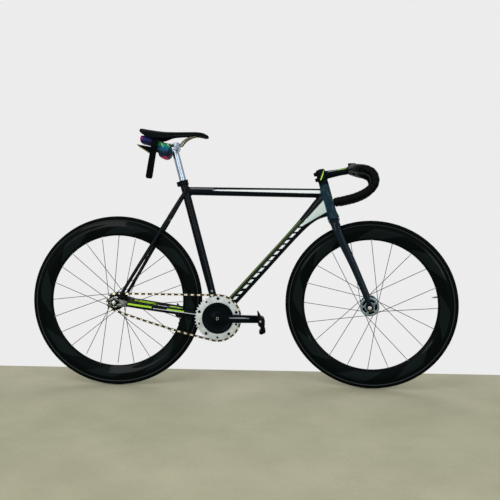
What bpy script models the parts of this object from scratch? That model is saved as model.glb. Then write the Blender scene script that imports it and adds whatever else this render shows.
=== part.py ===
"""Fixed-gear track bicycle with drop handlebars, a deep-rim wheelset and a saddle bag.

Every physical piece is an object of its own. Metres throughout. +X points forward, +Y to the
bicycle's left and +Z up. The origin is where the rear tyre meets the ground, below its axle.
"""
import math

import bpy
import bmesh
from mathutils import Matrix, Vector

# Clearances between pieces
GAP = 0.0003
RUNNING_GAP = 0.0006

# Overall layout
WHEEL_RADIUS = 0.334
WHEELBASE = 0.9954
CHAINSTAY = 0.4023
BRACKET_DROP = 0.056
SEAT_ANGLE = 74.5
HEAD_ANGLE = 73.0
FORK_RAKE = 0.043
FORK_LENGTH = 0.3675
STEER_AT_REST = 11.3

# Frame tubes
TUBE_SIDES = 12
HEAD_TUBE_LENGTH = 0.138
HEAD_TUBE_TOP_RADIUS = 0.0190
HEAD_TUBE_BASE_RADIUS = 0.0235
HEAD_TUBE_BORE = 0.0162
HEADSET_GAP = 0.0010
BEARING_WIDTH = 0.0070
BEARING_RADIUS = 0.0178
LOWER_BEARING_RADIUS = 0.0212
SEAT_TUBE_LENGTH = 0.546
SEAT_TUBE_RADIUS = 0.0159
SEAT_TUBE_BASE_DEPTH = 0.0255
SEAT_TUBE_BASE_WIDTH = 0.0380
POST_BORE_DEPTH = 0.230
TOP_TUBE_SEAT_DROP = 0.033
TOP_TUBE_HEAD_HEIGHT = 0.104
TOP_TUBE_DEPTH_REAR = 0.0325
TOP_TUBE_DEPTH_FRONT = 0.0365
TOP_TUBE_WIDTH = 0.0330
DOWN_TUBE_DEPTH = 0.0405
DOWN_TUBE_WIDTH = 0.0400
DOWN_TUBE_HEAD_HEIGHT = 0.090
GUSSET_DEPTH = 0.078
BRACKET_RADIUS = 0.0215
BRACKET_WIDTH = 0.068
BRACKET_BORE = 0.0175
REAR_SPACING = 0.120
CHAINSTAY_DEPTH = 0.0260
CHAINSTAY_WIDTH = 0.0150
CHAINSTAY_MID_Y = 0.0275
SEATSTAY_DEPTH = 0.0150
SEATSTAY_WIDTH = 0.0130
SEATSTAY_TOP_OFFSET = 0.001
BRIDGE_RADIUS = 0.0055
DROPOUT_THICKNESS = 0.0070
DROPOUT_REACH = 0.0500
DROPOUT_HEIGHT = 0.0150
COLLAR_HEIGHT = 0.0135
COLLAR_WALL = 0.0030

# Wheels
WHEEL_FACETS = 32
RIM_RADIUS = 0.3155
RIM_DEPTH = 0.0580
RIM_WIDTH = 0.0230
RIM_BULGE = 0.0260
TYRE_WIDTH = 0.0235
FRONT_SPOKES = 20
REAR_SPOKES = 24
SPOKE_RADIUS = 0.0009
SPOKE_LIFT = 0.0013
FRONT_SPACING = 0.100
FRONT_FLANGE_RADIUS = 0.0368
REAR_FLANGE_RADIUS = 0.0325
FLANGE_Y = 0.0335
FLANGE_THICKNESS = 0.0044
HUB_BODY_RADIUS = 0.0150
HUB_END_RADIUS = 0.0090
FRONT_AXLE_RADIUS = 0.0045
REAR_AXLE_RADIUS = 0.0050
AXLE_OVERHANG = 0.0110
NUT_RADIUS = 0.0085
NUT_THICKNESS = 0.0080

# Drive
PITCH = 0.0127
RING_TEETH = 44
COG_TEETH = 16
CHAIN_LINE = 0.0430
TOOTH_THICKNESS = 0.0027
ROLLER_RADIUS = 0.00385
ROLLER_SIDES = 3
CHAIN_INNER_WIDTH = 0.0033
PLATE_THICKNESS = 0.0011
PLATE_HALF_HEIGHT = 0.0042
PLATE_OVERHANG = 0.0050
RING_BORE = 0.0450
RING_WINDOWS = 10
WINDOW_RADIUS = 0.0755
RING_BOLTS = 5
RING_BOLT_CIRCLE = 0.0530
BOSS_RADIUS = 0.0040
CARRIER_RADIUS = 0.0168
CRANK_LENGTH = 0.165
CRANK_DISC_RADIUS = 0.0610
CRANK_DISC_THICKNESS = 0.0050
CRANK_ARM_THICKNESS = 0.0125
CRANK_WIDTH = 0.0330
CRANK_EYE_RADIUS = 0.0140
SPINDLE_RADIUS = 0.0110
PEDAL_WIDTH = 0.0560
PEDAL_SPINDLE_RADIUS = 0.0040

# Cockpit
STEERER_RADIUS = 0.0143
CROWN_HEIGHT = 0.0240
BLADE_DEPTHS = (0.0330, 0.0335, 0.0300, 0.0250, 0.0215)
COVER_HEIGHT = 0.0160
STEM_HEIGHT = 0.0400
STEM_LENGTH = 0.120
STEM_DROP_ANGLE = 6.0
STEM_WALL = 0.0050
STEM_WIDTH = 0.0400
TOP_CAP_THICKNESS = 0.0050
BAR_CLAMP_RADIUS = 0.0159
BAR_RADIUS = 0.0119
BAR_HALF_WIDTH = 0.200
BAR_REACH = 0.0825
BAR_DROP = 0.1270
TAPE_THICKNESS = 0.0034
TAPE_RIDGE = 0.0006
TAPE_LAP = 0.85
TAPE_START = 2

# Seat
POST_RADIUS = 0.0136
POST_WALL = 0.0024
POST_INSERTED = 0.120
POST_EXPOSED = 0.1415
POST_HEAD_RADIUS = 0.0125
CLAMP_OFFSET = 0.0107
CLAMP_BOLT_RADIUS = 0.0035
RAIL_RADIUS = 0.0035
RAIL_SPREAD = 0.0220
SADDLE_LENGTH = 0.274
SADDLE_WIDTH = 0.131
SADDLE_HEIGHT = 0.0611
SKIRT_DEPTH = 0.0360
SADDLE_SETBACK = -0.0028
CUSHION_THICKNESS = 0.0055
SKIRT_THICKNESS = 0.0025
SHELL_THICKNESS = 0.0024
BAG_START = -0.1338
BAG_LENGTH = 0.1225
BAG_WIDTH = 0.0960
BAG_DEPTH = 0.1000
STRAP_WIDTH = 0.0240
STRAP_THICKNESS = 0.0016
STRAP_LOOP_HEIGHT = 0.0620
STRAP_MIDDLE = 0.0160
STRAP_TAIL = 0.1380
STRAP_END = 0.0680
STRAP_END_INSET = 0.0090

# Places worked out from the layout
HEAD_TILT = math.radians(90.0 - HEAD_ANGLE)
SEAT_TILT = math.radians(90.0 - SEAT_ANGLE)
REAR_AXLE = Vector((0.0, 0.0, WHEEL_RADIUS))
BRACKET = Vector((math.sqrt(CHAINSTAY ** 2 - BRACKET_DROP ** 2), 0.0, WHEEL_RADIUS - BRACKET_DROP))
FRONT_AXLE = Vector((WHEELBASE, 0.0, WHEEL_RADIUS))
HEAD_UP = Vector((-math.sin(HEAD_TILT), 0.0, math.cos(HEAD_TILT)))
HEAD_FORWARD = Vector((math.cos(HEAD_TILT), 0.0, math.sin(HEAD_TILT)))
CROWN = FRONT_AXLE - FORK_RAKE * HEAD_FORWARD + FORK_LENGTH * HEAD_UP
SEAT_UP = Vector((-math.sin(SEAT_TILT), 0.0, math.cos(SEAT_TILT)))
SEAT_TOP = BRACKET + SEAT_TUBE_LENGTH * SEAT_UP
HEAD_TUBE_TOP = HEADSET_GAP + HEAD_TUBE_LENGTH
STEM_BASE = HEAD_TUBE_TOP + GAP + COVER_HEIGHT + GAP
STEM_MIDDLE = STEM_BASE + STEM_HEIGHT / 2
DROPOUT_INNER = REAR_SPACING / 2
CRANK_ARM_INNER = CHAIN_LINE + TOOTH_THICKNESS / 2 + GAP + CRANK_DISC_THICKNESS
CRANK_ARM_OUTER = CRANK_ARM_INNER + CRANK_ARM_THICKNESS
LEFT, RIGHT = 1, -1


def clear_scene():
    for thing in list(bpy.data.objects):
        bpy.data.objects.remove(thing)


def material(name, colour, roughness, metallic=0.0):
    made = bpy.data.materials.new(name)
    made.use_nodes = True
    shader = made.node_tree.nodes["Principled BSDF"]
    shader.inputs["Base Color"].default_value = (*colour, 1.0)
    shader.inputs["Roughness"].default_value = roughness
    shader.inputs["Metallic"].default_value = metallic
    return made


def empty(name, matrix, parent=None):
    made = bpy.data.objects.new(name, None)
    bpy.context.collection.objects.link(made)
    made.parent = parent
    made.matrix_basis = matrix
    return made


def add(name, form, finish, parent=None, matrix=None, smooth=35.0):
    """Turns a bmesh into an object with one material, on its parent's axes or the given ones."""
    bmesh.ops.recalc_face_normals(form, faces=form.faces)
    mesh = bpy.data.meshes.new(name)
    form.to_mesh(mesh)
    form.free()
    mesh.shade_smooth()
    mesh.set_sharp_from_angle(angle=math.radians(smooth))
    made = bpy.data.objects.new(name, mesh)
    bpy.context.collection.objects.link(made)
    made.parent = parent
    if matrix is not None:
        made.matrix_basis = matrix
    if finish is not None:
        mesh.materials.append(finish)
    return made


def guide(name, form, parent=None, matrix=None):
    """An object that only shapes others: it is hidden and is no piece of the bicycle."""
    made = add(name, form, None, parent, matrix)
    made.hide_render = True
    made.display_type = "WIRE"
    return made


def combine(piece, other, operation):
    step = piece.modifiers.new(operation.title(), "BOOLEAN")
    step.operation = operation
    step.solver = "EXACT"
    step.object = other


def cut(piece, *cutters):
    for cutter in cutters:
        combine(piece, cutter, "DIFFERENCE")


def fuse(piece, *others):
    for other in others:
        combine(piece, other, "UNION")


def turn_y(angle):
    return Matrix.Rotation(angle, 4, "Y")


def place(x=0.0, y=0.0, z=0.0):
    return Matrix.Translation((x, y, z))


ALONG_Y = Matrix.Rotation(math.radians(-90.0), 4, "X")


def skin(form, rings, looped=False):
    """Joins rings of points by strips of quads; a run that isn't looped gets a cap at each end."""
    made = [[form.verts.new(point) for point in ring] for ring in rings]
    pairs = list(zip(made, made[1:]))
    if looped:
        pairs.append((made[-1], made[0]))
    for first, second in pairs:
        count = len(first)
        for i in range(count):
            j = (i + 1) % count
            form.faces.new((first[i], first[j], second[j], second[i]))
    if not looped:
        form.faces.new(made[0][::-1])
        form.faces.new(made[-1])
    return form


def turned(profile, sides, looped=False, phase=0.5):
    """A solid of revolution about local Z from (radius, height) points; looped means a tube."""
    angles = [2 * math.pi * (i + phase) / sides for i in range(sides)]
    rings = [[Vector((r * math.cos(a), r * math.sin(a), h)) for a in angles] for r, h in profile]
    return skin(bmesh.new(), rings, looped)


def washer(inner, outer, bottom, top, sides):
    return turned([(inner, bottom), (outer, bottom), (outer, top), (inner, top)], sides, True)


def rod(radius, bottom, top, sides):
    return turned([(radius, bottom), (radius, top)], sides)


def prism(form, outline, low, high, matrix=None):
    """Extrudes an outline of (x, z) points from y = low to y = high."""
    shift = matrix or Matrix()
    ends = [[shift @ Vector((x, y, z)) for x, z in outline] for y in (low, high)]
    return skin(form, ends)


def plate(outline, holes, low, high):
    """A flat plate in the XZ plane with holes right through it."""
    form = bmesh.new()
    for loop in [outline] + holes:
        points = [form.verts.new((x, low, z)) for x, z in loop]
        for i, point in enumerate(points):
            form.edges.new((point, points[(i + 1) % len(points)]))
    bmesh.ops.triangle_fill(form, use_beauty=True, edges=form.edges[:])
    face_up = bmesh.ops.extrude_face_region(form, geom=form.faces[:])
    moved = [item for item in face_up["geom"] if isinstance(item, bmesh.types.BMVert)]
    bmesh.ops.translate(form, vec=(0.0, high - low, 0.0), verts=moved)
    return form


def arc(centre_x, centre_z, radius, start, stop, count):
    """Points on an arc in the XZ plane, angles in degrees from +X towards +Z."""
    points = []
    for i in range(count):
        a = math.radians(start + (stop - start) * i / (count - 1))
        points.append((centre_x + radius * math.cos(a), centre_z + radius * math.sin(a)))
    return points


def circle(centre_x, centre_z, radius, count):
    return arc(centre_x, centre_z, radius, 0.0, 360.0 - 360.0 / count, count)


def frame_across(along):
    """Unit vectors to the side and up, square to a tube that runs mostly in the XZ plane."""
    along = along.normalized()
    side = (Vector((0.0, 1.0, 0.0)) - along.y * along).normalized()
    return side, side.cross(along) * -1.0


def oval(centre, along, half_width, half_depth, sides, power=2.0):
    """A ring square to a direction: an ellipse at power 2, squarer above it."""
    side, up = frame_across(along)
    ring = []
    for i in range(sides):
        a = 2 * math.pi * (i + 0.5) / sides
        c, s = math.cos(a), math.sin(a)
        across = math.copysign(abs(c) ** (2 / power), c) * half_width
        high = math.copysign(abs(s) ** (2 / power), s) * half_depth
        ring.append(centre + side * across + up * high)
    return ring


def tube(stations, sides=TUBE_SIDES, power=2.0, grow=0.0):
    """A solid through (centre, width, depth) stations, each ring square to the run there."""
    rings = []
    for i, (centre, width, depth) in enumerate(stations):
        before = stations[max(i - 1, 0)][0]
        after = stations[min(i + 1, len(stations) - 1)][0]
        rings.append(oval(centre, after - before, width / 2 + grow, depth / 2 + grow, sides, power))
    return skin(bmesh.new(), rings)


def headings(path):
    """The run's direction at each point of a path."""
    last = len(path) - 1
    return [(path[min(i + 1, last)] - path[max(i - 1, 0)]).normalized() for i in range(last + 1)]


def round_rings(centres, directions, radii, sides):
    """Round rings square to their directions, carried from one to the next without twist."""
    rings = []
    across = directions[0].orthogonal().normalized()
    before = directions[0]
    for centre, along, radius in zip(centres, directions, radii):
        across = before.rotation_difference(along) @ across
        other = along.cross(across)
        angles = [2 * math.pi * (k + 0.5) / sides for k in range(sides)]
        rings.append([centre + radius * (math.cos(a) * across + math.sin(a) * other)
                      for a in angles])
        before = along
    return rings


def swept_rings(path, radius, sides):
    return round_rings(path, headings(path), [radius] * len(path), sides)


def flat_radius(radius):
    """Corner radius of a wheel ring whose flat facets lie at the given radius."""
    return radius / math.cos(math.pi / WHEEL_FACETS)


# Finishes
def make_finishes():
    return {
        "frame": material("Graphite paint", (0.020, 0.026, 0.030), 0.28, 0.55),
        "fork": material("Blue-black paint", (0.012, 0.026, 0.036), 0.25, 0.45),
        "carbon": material("Carbon rim", (0.012, 0.013, 0.014), 0.22, 0.1),
        "tyre": material("Tyre rubber", (0.018, 0.018, 0.018), 0.75),
        "silver": material("Polished aluminium", (0.72, 0.73, 0.75), 0.25, 1.0),
        "steel": material("Zinc-plated steel", (0.50, 0.50, 0.50), 0.35, 1.0),
        "black": material("Black anodising", (0.015, 0.016, 0.018), 0.35, 0.6),
        "chain": material("Chain steel", (0.33, 0.29, 0.20), 0.35, 1.0),
        "tape": material("Bar tape", (0.012, 0.012, 0.013), 0.45),
        "cover": material("Saddle cover", (0.013, 0.013, 0.014), 0.5),
        "plastic": material("Black moulding", (0.015, 0.015, 0.016), 0.4),
        "bag": material("Bag fabric", (0.02, 0.14, 0.13), 0.8),
        "strap": material("Webbing", (0.012, 0.012, 0.012), 0.85),
    }


# Frame
def head_axis_point(height):
    """A point on the steering axis, this far above the fork crown."""
    return CROWN + height * HEAD_UP


def seat_axis_point(distance):
    """A point on the seat tube's axis, this far from the bottom bracket."""
    return BRACKET + distance * SEAT_UP


def head_tube_profile(grow=0.0):
    base = HEADSET_GAP - grow
    top = HEAD_TUBE_TOP + grow
    waist = HEAD_TUBE_TOP_RADIUS + grow
    flare = HEAD_TUBE_BASE_RADIUS + grow
    return [(flare, base), (flare, base + 0.018), (waist, base + 0.055), (waist, top)]


def seat_tube_stations():
    round_size = 2 * SEAT_TUBE_RADIUS
    return [
        (seat_axis_point(0.0), SEAT_TUBE_BASE_WIDTH, SEAT_TUBE_BASE_DEPTH),
        (seat_axis_point(0.16 * SEAT_TUBE_LENGTH), round_size,
         0.5 * (SEAT_TUBE_BASE_DEPTH + round_size)),
        (seat_axis_point(0.36 * SEAT_TUBE_LENGTH), round_size, round_size),
        (seat_axis_point(SEAT_TUBE_LENGTH), round_size, round_size),
    ]


def top_tube_stations():
    rear = seat_axis_point(SEAT_TUBE_LENGTH - TOP_TUBE_SEAT_DROP)
    front = head_axis_point(TOP_TUBE_HEAD_HEIGHT)
    middle_depth = 0.5 * (TOP_TUBE_DEPTH_REAR + TOP_TUBE_DEPTH_FRONT)
    return [
        (rear, 0.92 * TOP_TUBE_WIDTH, TOP_TUBE_DEPTH_REAR),
        (rear.lerp(front, 0.45), TOP_TUBE_WIDTH, middle_depth),
        (front, TOP_TUBE_WIDTH, TOP_TUBE_DEPTH_FRONT),
    ]


def down_tube_form(grow=0.0):
    """A deep tube whose upper edge stays straight while its lower edge drops into a gusset."""
    top = head_axis_point(DOWN_TUBE_HEAD_HEIGHT)
    along = (top - BRACKET).normalized()
    up = frame_across(along)[1]
    depths = ((0.0, DOWN_TUBE_DEPTH), (0.70, DOWN_TUBE_DEPTH),
              (0.84, 1.12 * DOWN_TUBE_DEPTH), (0.92, 1.42 * DOWN_TUBE_DEPTH), (1.0, GUSSET_DEPTH))
    rings = []
    for share, depth in depths:
        centre = BRACKET.lerp(top, share) - up * (depth - DOWN_TUBE_DEPTH) / 2
        facing = along.lerp(HEAD_FORWARD, max(0.0, (share - 0.70) / 0.30))
        rings.append(oval(centre, facing, DOWN_TUBE_WIDTH / 2 + grow, depth / 2 + grow,
                          TUBE_SIDES, 2.3))
    return skin(bmesh.new(), rings)


def chainstay_stations(side):
    """From beside the bottom bracket, round the tyre, out to the dropout."""
    rear = REAR_AXLE + Vector((DROPOUT_REACH - 0.004, 0.0, -0.0058))
    tyre_edge = WHEEL_RADIUS / CHAINSTAY
    places = ((0.0, 0.0200, 0.88), (1.0 - tyre_edge, CHAINSTAY_MID_Y, 1.0),
              (0.45, 0.0385, 0.98), (0.80, 0.0570, 0.86), (1.0, DROPOUT_INNER + 0.0025, 0.80))
    stations = []
    for share, offset, size in places:
        centre = BRACKET.lerp(rear, share)
        centre.y = side * offset
        stations.append((centre, CHAINSTAY_WIDTH * size, CHAINSTAY_DEPTH * size))
    return stations


def seatstay_stations(side):
    top = seat_axis_point(SEAT_TUBE_LENGTH - TOP_TUBE_SEAT_DROP - SEATSTAY_TOP_OFFSET)
    rear = REAR_AXLE + Vector((0.0142, 0.0, DROPOUT_HEIGHT - 0.003))
    places = ((0.0, 0.0095, 1.0), (0.30, 0.0300, 1.0), (0.75, 0.0560, 0.92),
              (1.0, DROPOUT_INNER + 0.0030, 0.85))
    stations = []
    for share, offset, size in places:
        centre = top.lerp(rear, share)
        centre.y = side * offset
        stations.append((centre, SEATSTAY_WIDTH * size, SEATSTAY_DEPTH * size))
    return stations


def dropout_outline():
    """Side view of a rear-facing track dropout, from the lower front corner upwards."""
    slot = REAR_AXLE_RADIUS + GAP
    low, high = -DROPOUT_HEIGHT, DROPOUT_HEIGHT
    x, z = REAR_AXLE.x, REAR_AXLE.z
    inner = arc(x + 0.016, z, slot, 90.0, -90.0, 5)
    front = x + DROPOUT_REACH
    return ([(front, z - 0.0165), (front, z + 0.0050), (x + 0.024, z + 0.0110),
             (x + 0.0215, z + high), (x + 0.0060, z + high), (x - 0.0240, z + 0.0115),
             (x - 0.0270, z + slot)]
            + inner + [(x - 0.0270, z - slot), (x - 0.0240, z - 0.0115), (x + 0.0060, z + low)])


def dropout_trim():
    """Fills the dropouts' side view and all behind it, so that the stays stop just short."""
    x, z = REAR_AXLE.x, REAR_AXLE.z
    front = x + DROPOUT_REACH + GAP
    top = z + DROPOUT_HEIGHT + GAP
    outline = [(x - 0.06, z - 0.04), (front, z - 0.04), (front, z + 0.0050 + GAP),
               (x + 0.024 + GAP, z + 0.0110 + GAP), (x + 0.0215 + GAP, top), (x - 0.06, top)]
    return prism(bmesh.new(), outline, -0.1, 0.1)


def build_frame(finish):
    paint = finish["frame"]
    head_matrix = Matrix.Translation(CROWN) @ turn_y(-HEAD_TILT)
    bracket_matrix = Matrix.Translation(BRACKET) @ ALONG_Y

    bore, seat = HEAD_TUBE_BORE, HEADSET_GAP + BEARING_WIDTH + GAP
    lower, upper = LOWER_BEARING_RADIUS + GAP, BEARING_RADIUS + GAP
    top_seat = HEAD_TUBE_TOP - BEARING_WIDTH - GAP
    inside = [(upper, HEAD_TUBE_TOP), (upper, top_seat), (bore, top_seat), (bore, seat),
              (lower, seat), (lower, HEADSET_GAP)]
    add("head_tube", turned(head_tube_profile() + inside, 16, True), paint, None, head_matrix)
    head_cutter = guide("head_tube_guide", turned(head_tube_profile(GAP), 16), None, head_matrix)

    seat_tube = add("seat_tube", tube(seat_tube_stations()), paint)
    seat_cutter = guide("seat_tube_guide", tube(seat_tube_stations(), grow=GAP))
    bore_form = rod(flush_bore(POST_RADIUS), SEAT_TUBE_LENGTH - POST_BORE_DEPTH,
                    SEAT_TUBE_LENGTH + 0.01, 16)
    seat_matrix = Matrix.Translation(BRACKET) @ turn_y(-SEAT_TILT)
    post_cutter = guide("post_bore_guide", bore_form, None, seat_matrix)

    half = BRACKET_WIDTH / 2
    add("bottom_bracket_shell", washer(BRACKET_BORE, BRACKET_RADIUS, -half, half, 14), paint,
        None, bracket_matrix)
    bracket_form = rod(BRACKET_RADIUS + GAP, -half - 0.01, half + 0.01, 14)
    bracket_cutter = guide("bracket_guide", bracket_form, None, bracket_matrix)
    cut(seat_tube, post_cutter, bracket_cutter)

    top_tube = add("top_tube", tube(top_tube_stations(), power=2.3), paint)
    top_cutter = guide("top_tube_guide", tube(top_tube_stations(), power=2.3, grow=GAP))
    cut(top_tube, seat_cutter, head_cutter)
    down_tube = add("down_tube", down_tube_form(), paint)
    cut(down_tube, bracket_cutter, seat_cutter, head_cutter, top_cutter)

    stay_cutters = []
    trim = guide("dropout_guide", dropout_trim())
    for side, word in ((LEFT, "left"), (RIGHT, "right")):
        chainstay = add("chainstay_" + word, tube(chainstay_stations(side), power=2.4), paint)
        cut(chainstay, bracket_cutter, seat_cutter, trim)
        seatstay = add("seatstay_" + word, tube(seatstay_stations(side), 10), paint)
        cut(seatstay, seat_cutter, trim)
        stay_form = tube(seatstay_stations(side), 10, grow=GAP)
        stay_cutters.append(guide("seatstay_guide_" + word, stay_form))
        low, high = sorted((side * DROPOUT_INNER, side * (DROPOUT_INNER + DROPOUT_THICKNESS)))
        add("dropout_" + word, plate(dropout_outline(), [], low, high), finish["silver"])

    stations = seatstay_stations(LEFT)
    above_tyre = stations[0][0].lerp(stations[1][0], 0.88)
    bridge_matrix = Matrix.Translation((above_tyre.x, 0.0, above_tyre.z)) @ ALONG_Y
    bridge = add("seatstay_bridge", rod(BRIDGE_RADIUS, -above_tyre.y, above_tyre.y, 10), paint,
                 None, bridge_matrix)
    cut(bridge, *stay_cutters)

    inner, outer = flush_bore(SEAT_TUBE_RADIUS), SEAT_TUBE_RADIUS + COLLAR_WALL
    low = SEAT_TUBE_LENGTH - COLLAR_HEIGHT + 0.002
    lip = SEAT_TUBE_LENGTH + GAP
    collar = add("seat_clamp", washer(inner, outer, low, lip, 16), finish["black"], None,
                 seat_matrix)
    lug = bmesh.new()
    prism(lug, [(-outer - 0.0070, low + 0.001), (-outer + 0.0015, low + 0.001),
                (-outer + 0.0015, lip), (-outer - 0.0070, lip)], -0.0085, 0.0085)
    fuse(collar, guide("clamp_lug_guide", lug, None, seat_matrix))


# Wheels
def rim_profile():
    """Deep section: brake track, widest a third of the way in, then a vee to the spoke bed."""
    edge, bed = flat_radius(RIM_RADIUS), flat_radius(RIM_RADIUS - RIM_DEPTH)
    third = edge - 0.34 * RIM_DEPTH
    half, bulge, nose = RIM_WIDTH / 2, RIM_BULGE / 2, 0.0045
    return [(edge, -half), (edge, half), (third, bulge), (bed, nose), (bed, -nose), (third, -bulge)]


def tyre_profile():
    base, tread = flat_radius(RIM_RADIUS + GAP), flat_radius(WHEEL_RADIUS)
    middle = 0.5 * (base + tread)
    half, crown = TYRE_WIDTH / 2, 0.0050
    seat = RIM_WIDTH / 2 - 0.0005
    return [(base, -seat), (base, seat), (middle, half), (tread, crown), (tread, -crown),
            (middle, -half)]


def spokes(count, flange_radius, hub_y):
    """Crossed spokes from both flanges: heads alternate in and out, and so do their directions."""
    form = bmesh.new()
    per_side = count // 2
    spacing = 2 * math.pi / per_side
    reach = 2 * spacing
    root = flange_radius - 0.0030
    tip = RIM_RADIUS - RIM_DEPTH - 2 * GAP
    for side in (LEFT, RIGHT):
        for i in range(per_side):
            way = 1 if i % 2 == 0 else -1
            start = i * spacing + (0.5 * spacing if side == RIGHT else 0.0)
            stop = start + way * reach
            lift = SPOKE_LIFT * way
            low = Vector((root * math.cos(start), side * (hub_y + lift), root * math.sin(start)))
            high = Vector((tip * math.cos(stop), side * (0.0020 + 0.5 * lift), tip * math.sin(stop)))
            skin(form, swept_rings([low, high], SPOKE_RADIUS, 3))
    return form


def hub_profile(spacing, flange_radius, bore, carrier):
    """Axle sleeve with two high flanges; the right end carries a cog where carrier is given."""
    end = spacing / 2 - GAP
    flange_in, flange_out = FLANGE_Y - FLANGE_THICKNESS / 2, FLANGE_Y + FLANGE_THICKNESS / 2
    waist = 0.85 * HUB_BODY_RADIUS
    profile = [(HUB_END_RADIUS, end), (HUB_END_RADIUS, flange_out + 0.006),
               (HUB_BODY_RADIUS, flange_out), (flange_radius, flange_out),
               (flange_radius, flange_in), (waist, flange_in - 0.004), (waist, 0.004 - flange_in),
               (flange_radius, -flange_in), (flange_radius, -flange_out)]
    if carrier:
        profile += [(carrier, -flange_out), (carrier, -CHAIN_LINE - 0.0065),
                    (HUB_END_RADIUS, -CHAIN_LINE - 0.0065)]
    else:
        profile += [(HUB_BODY_RADIUS, -flange_out), (HUB_END_RADIUS, -flange_out - 0.006)]
    return profile + [(HUB_END_RADIUS, -end), (bore, -end), (bore, end)]


def flange_windows(count, flange_radius, hub_y):
    """Kidney-shaped openings through the flanges, cut from outside each one."""
    form = bmesh.new()
    inner, outer = 0.53 * flange_radius, 0.80 * flange_radius
    span = 180.0 / count
    for i in range(count):
        middle = 360.0 * i / count
        outline = (arc(0.0, 0.0, outer, middle - span / 2, middle + span / 2, 2)
                   + arc(0.0, 0.0, inner, middle + span / 2, middle - span / 2, 2))
        for side in (LEFT, RIGHT):
            low, high = sorted((side * (hub_y - 0.003), side * (hub_y + 0.003)))
            prism(form, outline, low, high)
    return form


def build_wheel(word, hub, spacing, spoke_count, flange_radius, axle_radius, finish, carrier=0.0):
    """The turning pieces of one wheel, on an empty whose Y axis is the axle."""
    lying = ALONG_Y
    add(word + "_rim", turned(rim_profile(), WHEEL_FACETS, True), finish["carbon"], hub, lying)
    add(word + "_tyre", turned(tyre_profile(), WHEEL_FACETS, True), finish["tyre"], hub, lying)
    bore = axle_radius + RUNNING_GAP
    profile = hub_profile(spacing, flange_radius, bore, carrier)
    shell_finish = finish["black"] if carrier else finish["silver"]
    shell = add(word + "_hub", turned(profile, 12, True), shell_finish, hub, lying)
    if not carrier:
        windows = flange_windows(5, flange_radius, FLANGE_Y)
        cut(shell, guide(word + "_window_guide", windows, hub))
    fuse(shell, guide(word + "_spoke_guide", spokes(spoke_count, flange_radius, FLANGE_Y), hub))


def build_axle(word, axle, spacing, clamped, axle_radius, finish):
    """The fixed axle through a hub and the nut outside each dropout."""
    end = spacing / 2 + clamped + AXLE_OVERHANG
    add(word + "_axle", rod(axle_radius, -end, end, 12), finish["steel"], axle, ALONG_Y)
    for side, name in ((LEFT, "left"), (RIGHT, "right")):
        face = spacing / 2 + clamped + GAP
        low, high = sorted((side * face, side * (face + NUT_THICKNESS)))
        bore = (axle_radius + GAP) / math.cos(math.pi / 6)
        nut = washer(bore, NUT_RADIUS, low, high, 6)
        add(word + "_axle_nut_" + name, nut, finish["steel"], axle, ALONG_Y)


# Drive
def pitch_radius(teeth):
    return PITCH / (2 * math.sin(math.pi / teeth))


def sprocket_outline(teeth, centre, phase):
    """Straight-sided teeth with a valley under each roller; phase is one roller's angle."""
    pitch_r = pitch_radius(teeth)
    root = pitch_r - ROLLER_RADIUS - 2.5 * GAP
    tip = pitch_r + 0.11 * PITCH
    points = []
    for i in range(teeth):
        middle = phase + 2 * math.pi * i / teeth
        for radius, across in ((tip, -0.44 * PITCH), (root, 0.0), (tip, 0.44 * PITCH)):
            a = middle + across / radius
            points.append((centre.x + radius * math.cos(a), centre.z + radius * math.sin(a)))
    return points


def chain_curve(sag):
    """The pins' closed route as (length, function) stretches, from the cog's top forward."""
    ring_r, cog_r = pitch_radius(RING_TEETH), pitch_radius(COG_TEETH)
    run = BRACKET - REAR_AXLE
    tilt = math.atan2(run.z, run.x)
    lean = math.asin((ring_r - cog_r) / run.length)
    top, bottom = tilt + lean + math.pi / 2, tilt - lean - math.pi / 2
    free = math.sqrt(run.length ** 2 - (ring_r - cog_r) ** 2)

    def on(centre, radius, angle):
        return Vector((centre.x + radius * math.cos(angle), 0.0, centre.z + radius * math.sin(angle)))

    def upper(s):
        return on(REAR_AXLE, cog_r, top).lerp(on(BRACKET, ring_r, top), s / free)

    def front(s):
        return on(BRACKET, ring_r, top - s / ring_r)

    def lower(s):
        t = s / free
        straight = on(BRACKET, ring_r, bottom).lerp(on(REAR_AXLE, cog_r, bottom), t)
        return straight - Vector((0.0, 0.0, 4 * sag * t * (1 - t)))

    def rear(s):
        return on(REAR_AXLE, cog_r, bottom - s / cog_r)

    return [(free, upper), (ring_r * (top - bottom), front), (free, lower),
            (cog_r * (2 * math.pi - top + bottom), rear)]


def walk_chain(sag, links):
    """Steps one pitch at a time round the route; returns the pins and the distance walked."""
    stretches = chain_curve(sag)
    total = sum(length for length, route in stretches)

    def at(s):
        s = s % total
        for length, route in stretches:
            if s <= length:
                return route(s)
            s -= length
        return stretches[-1][1](stretches[-1][0])

    pins, s = [at(0.0)], 0.0
    for i in range(links):
        low, high = s + 0.9 * PITCH, s + 1.1 * PITCH
        for k in range(40):
            middle = 0.5 * (low + high)
            if (at(middle) - pins[-1]).length < PITCH:
                low = middle
            else:
                high = middle
        s = high
        pins.append(at(s))
    return pins, s - total


def chain_pins():
    """Pins of the shortest even chain that closes, its spare length hanging in the lower run."""
    around = sum(length for length, route in chain_curve(0.0))
    links = 2 * math.floor(around / PITCH / 2)
    while walk_chain(0.0, links)[1] < 0.0:
        links += 2
    low, high = 0.0, 0.5 * CHAINSTAY
    for k in range(40):
        sag = 0.5 * (low + high)
        if walk_chain(sag, links)[1] > 0.0:
            low = sag
        else:
            high = sag
    return walk_chain(high, links)[0][:-1]


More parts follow.
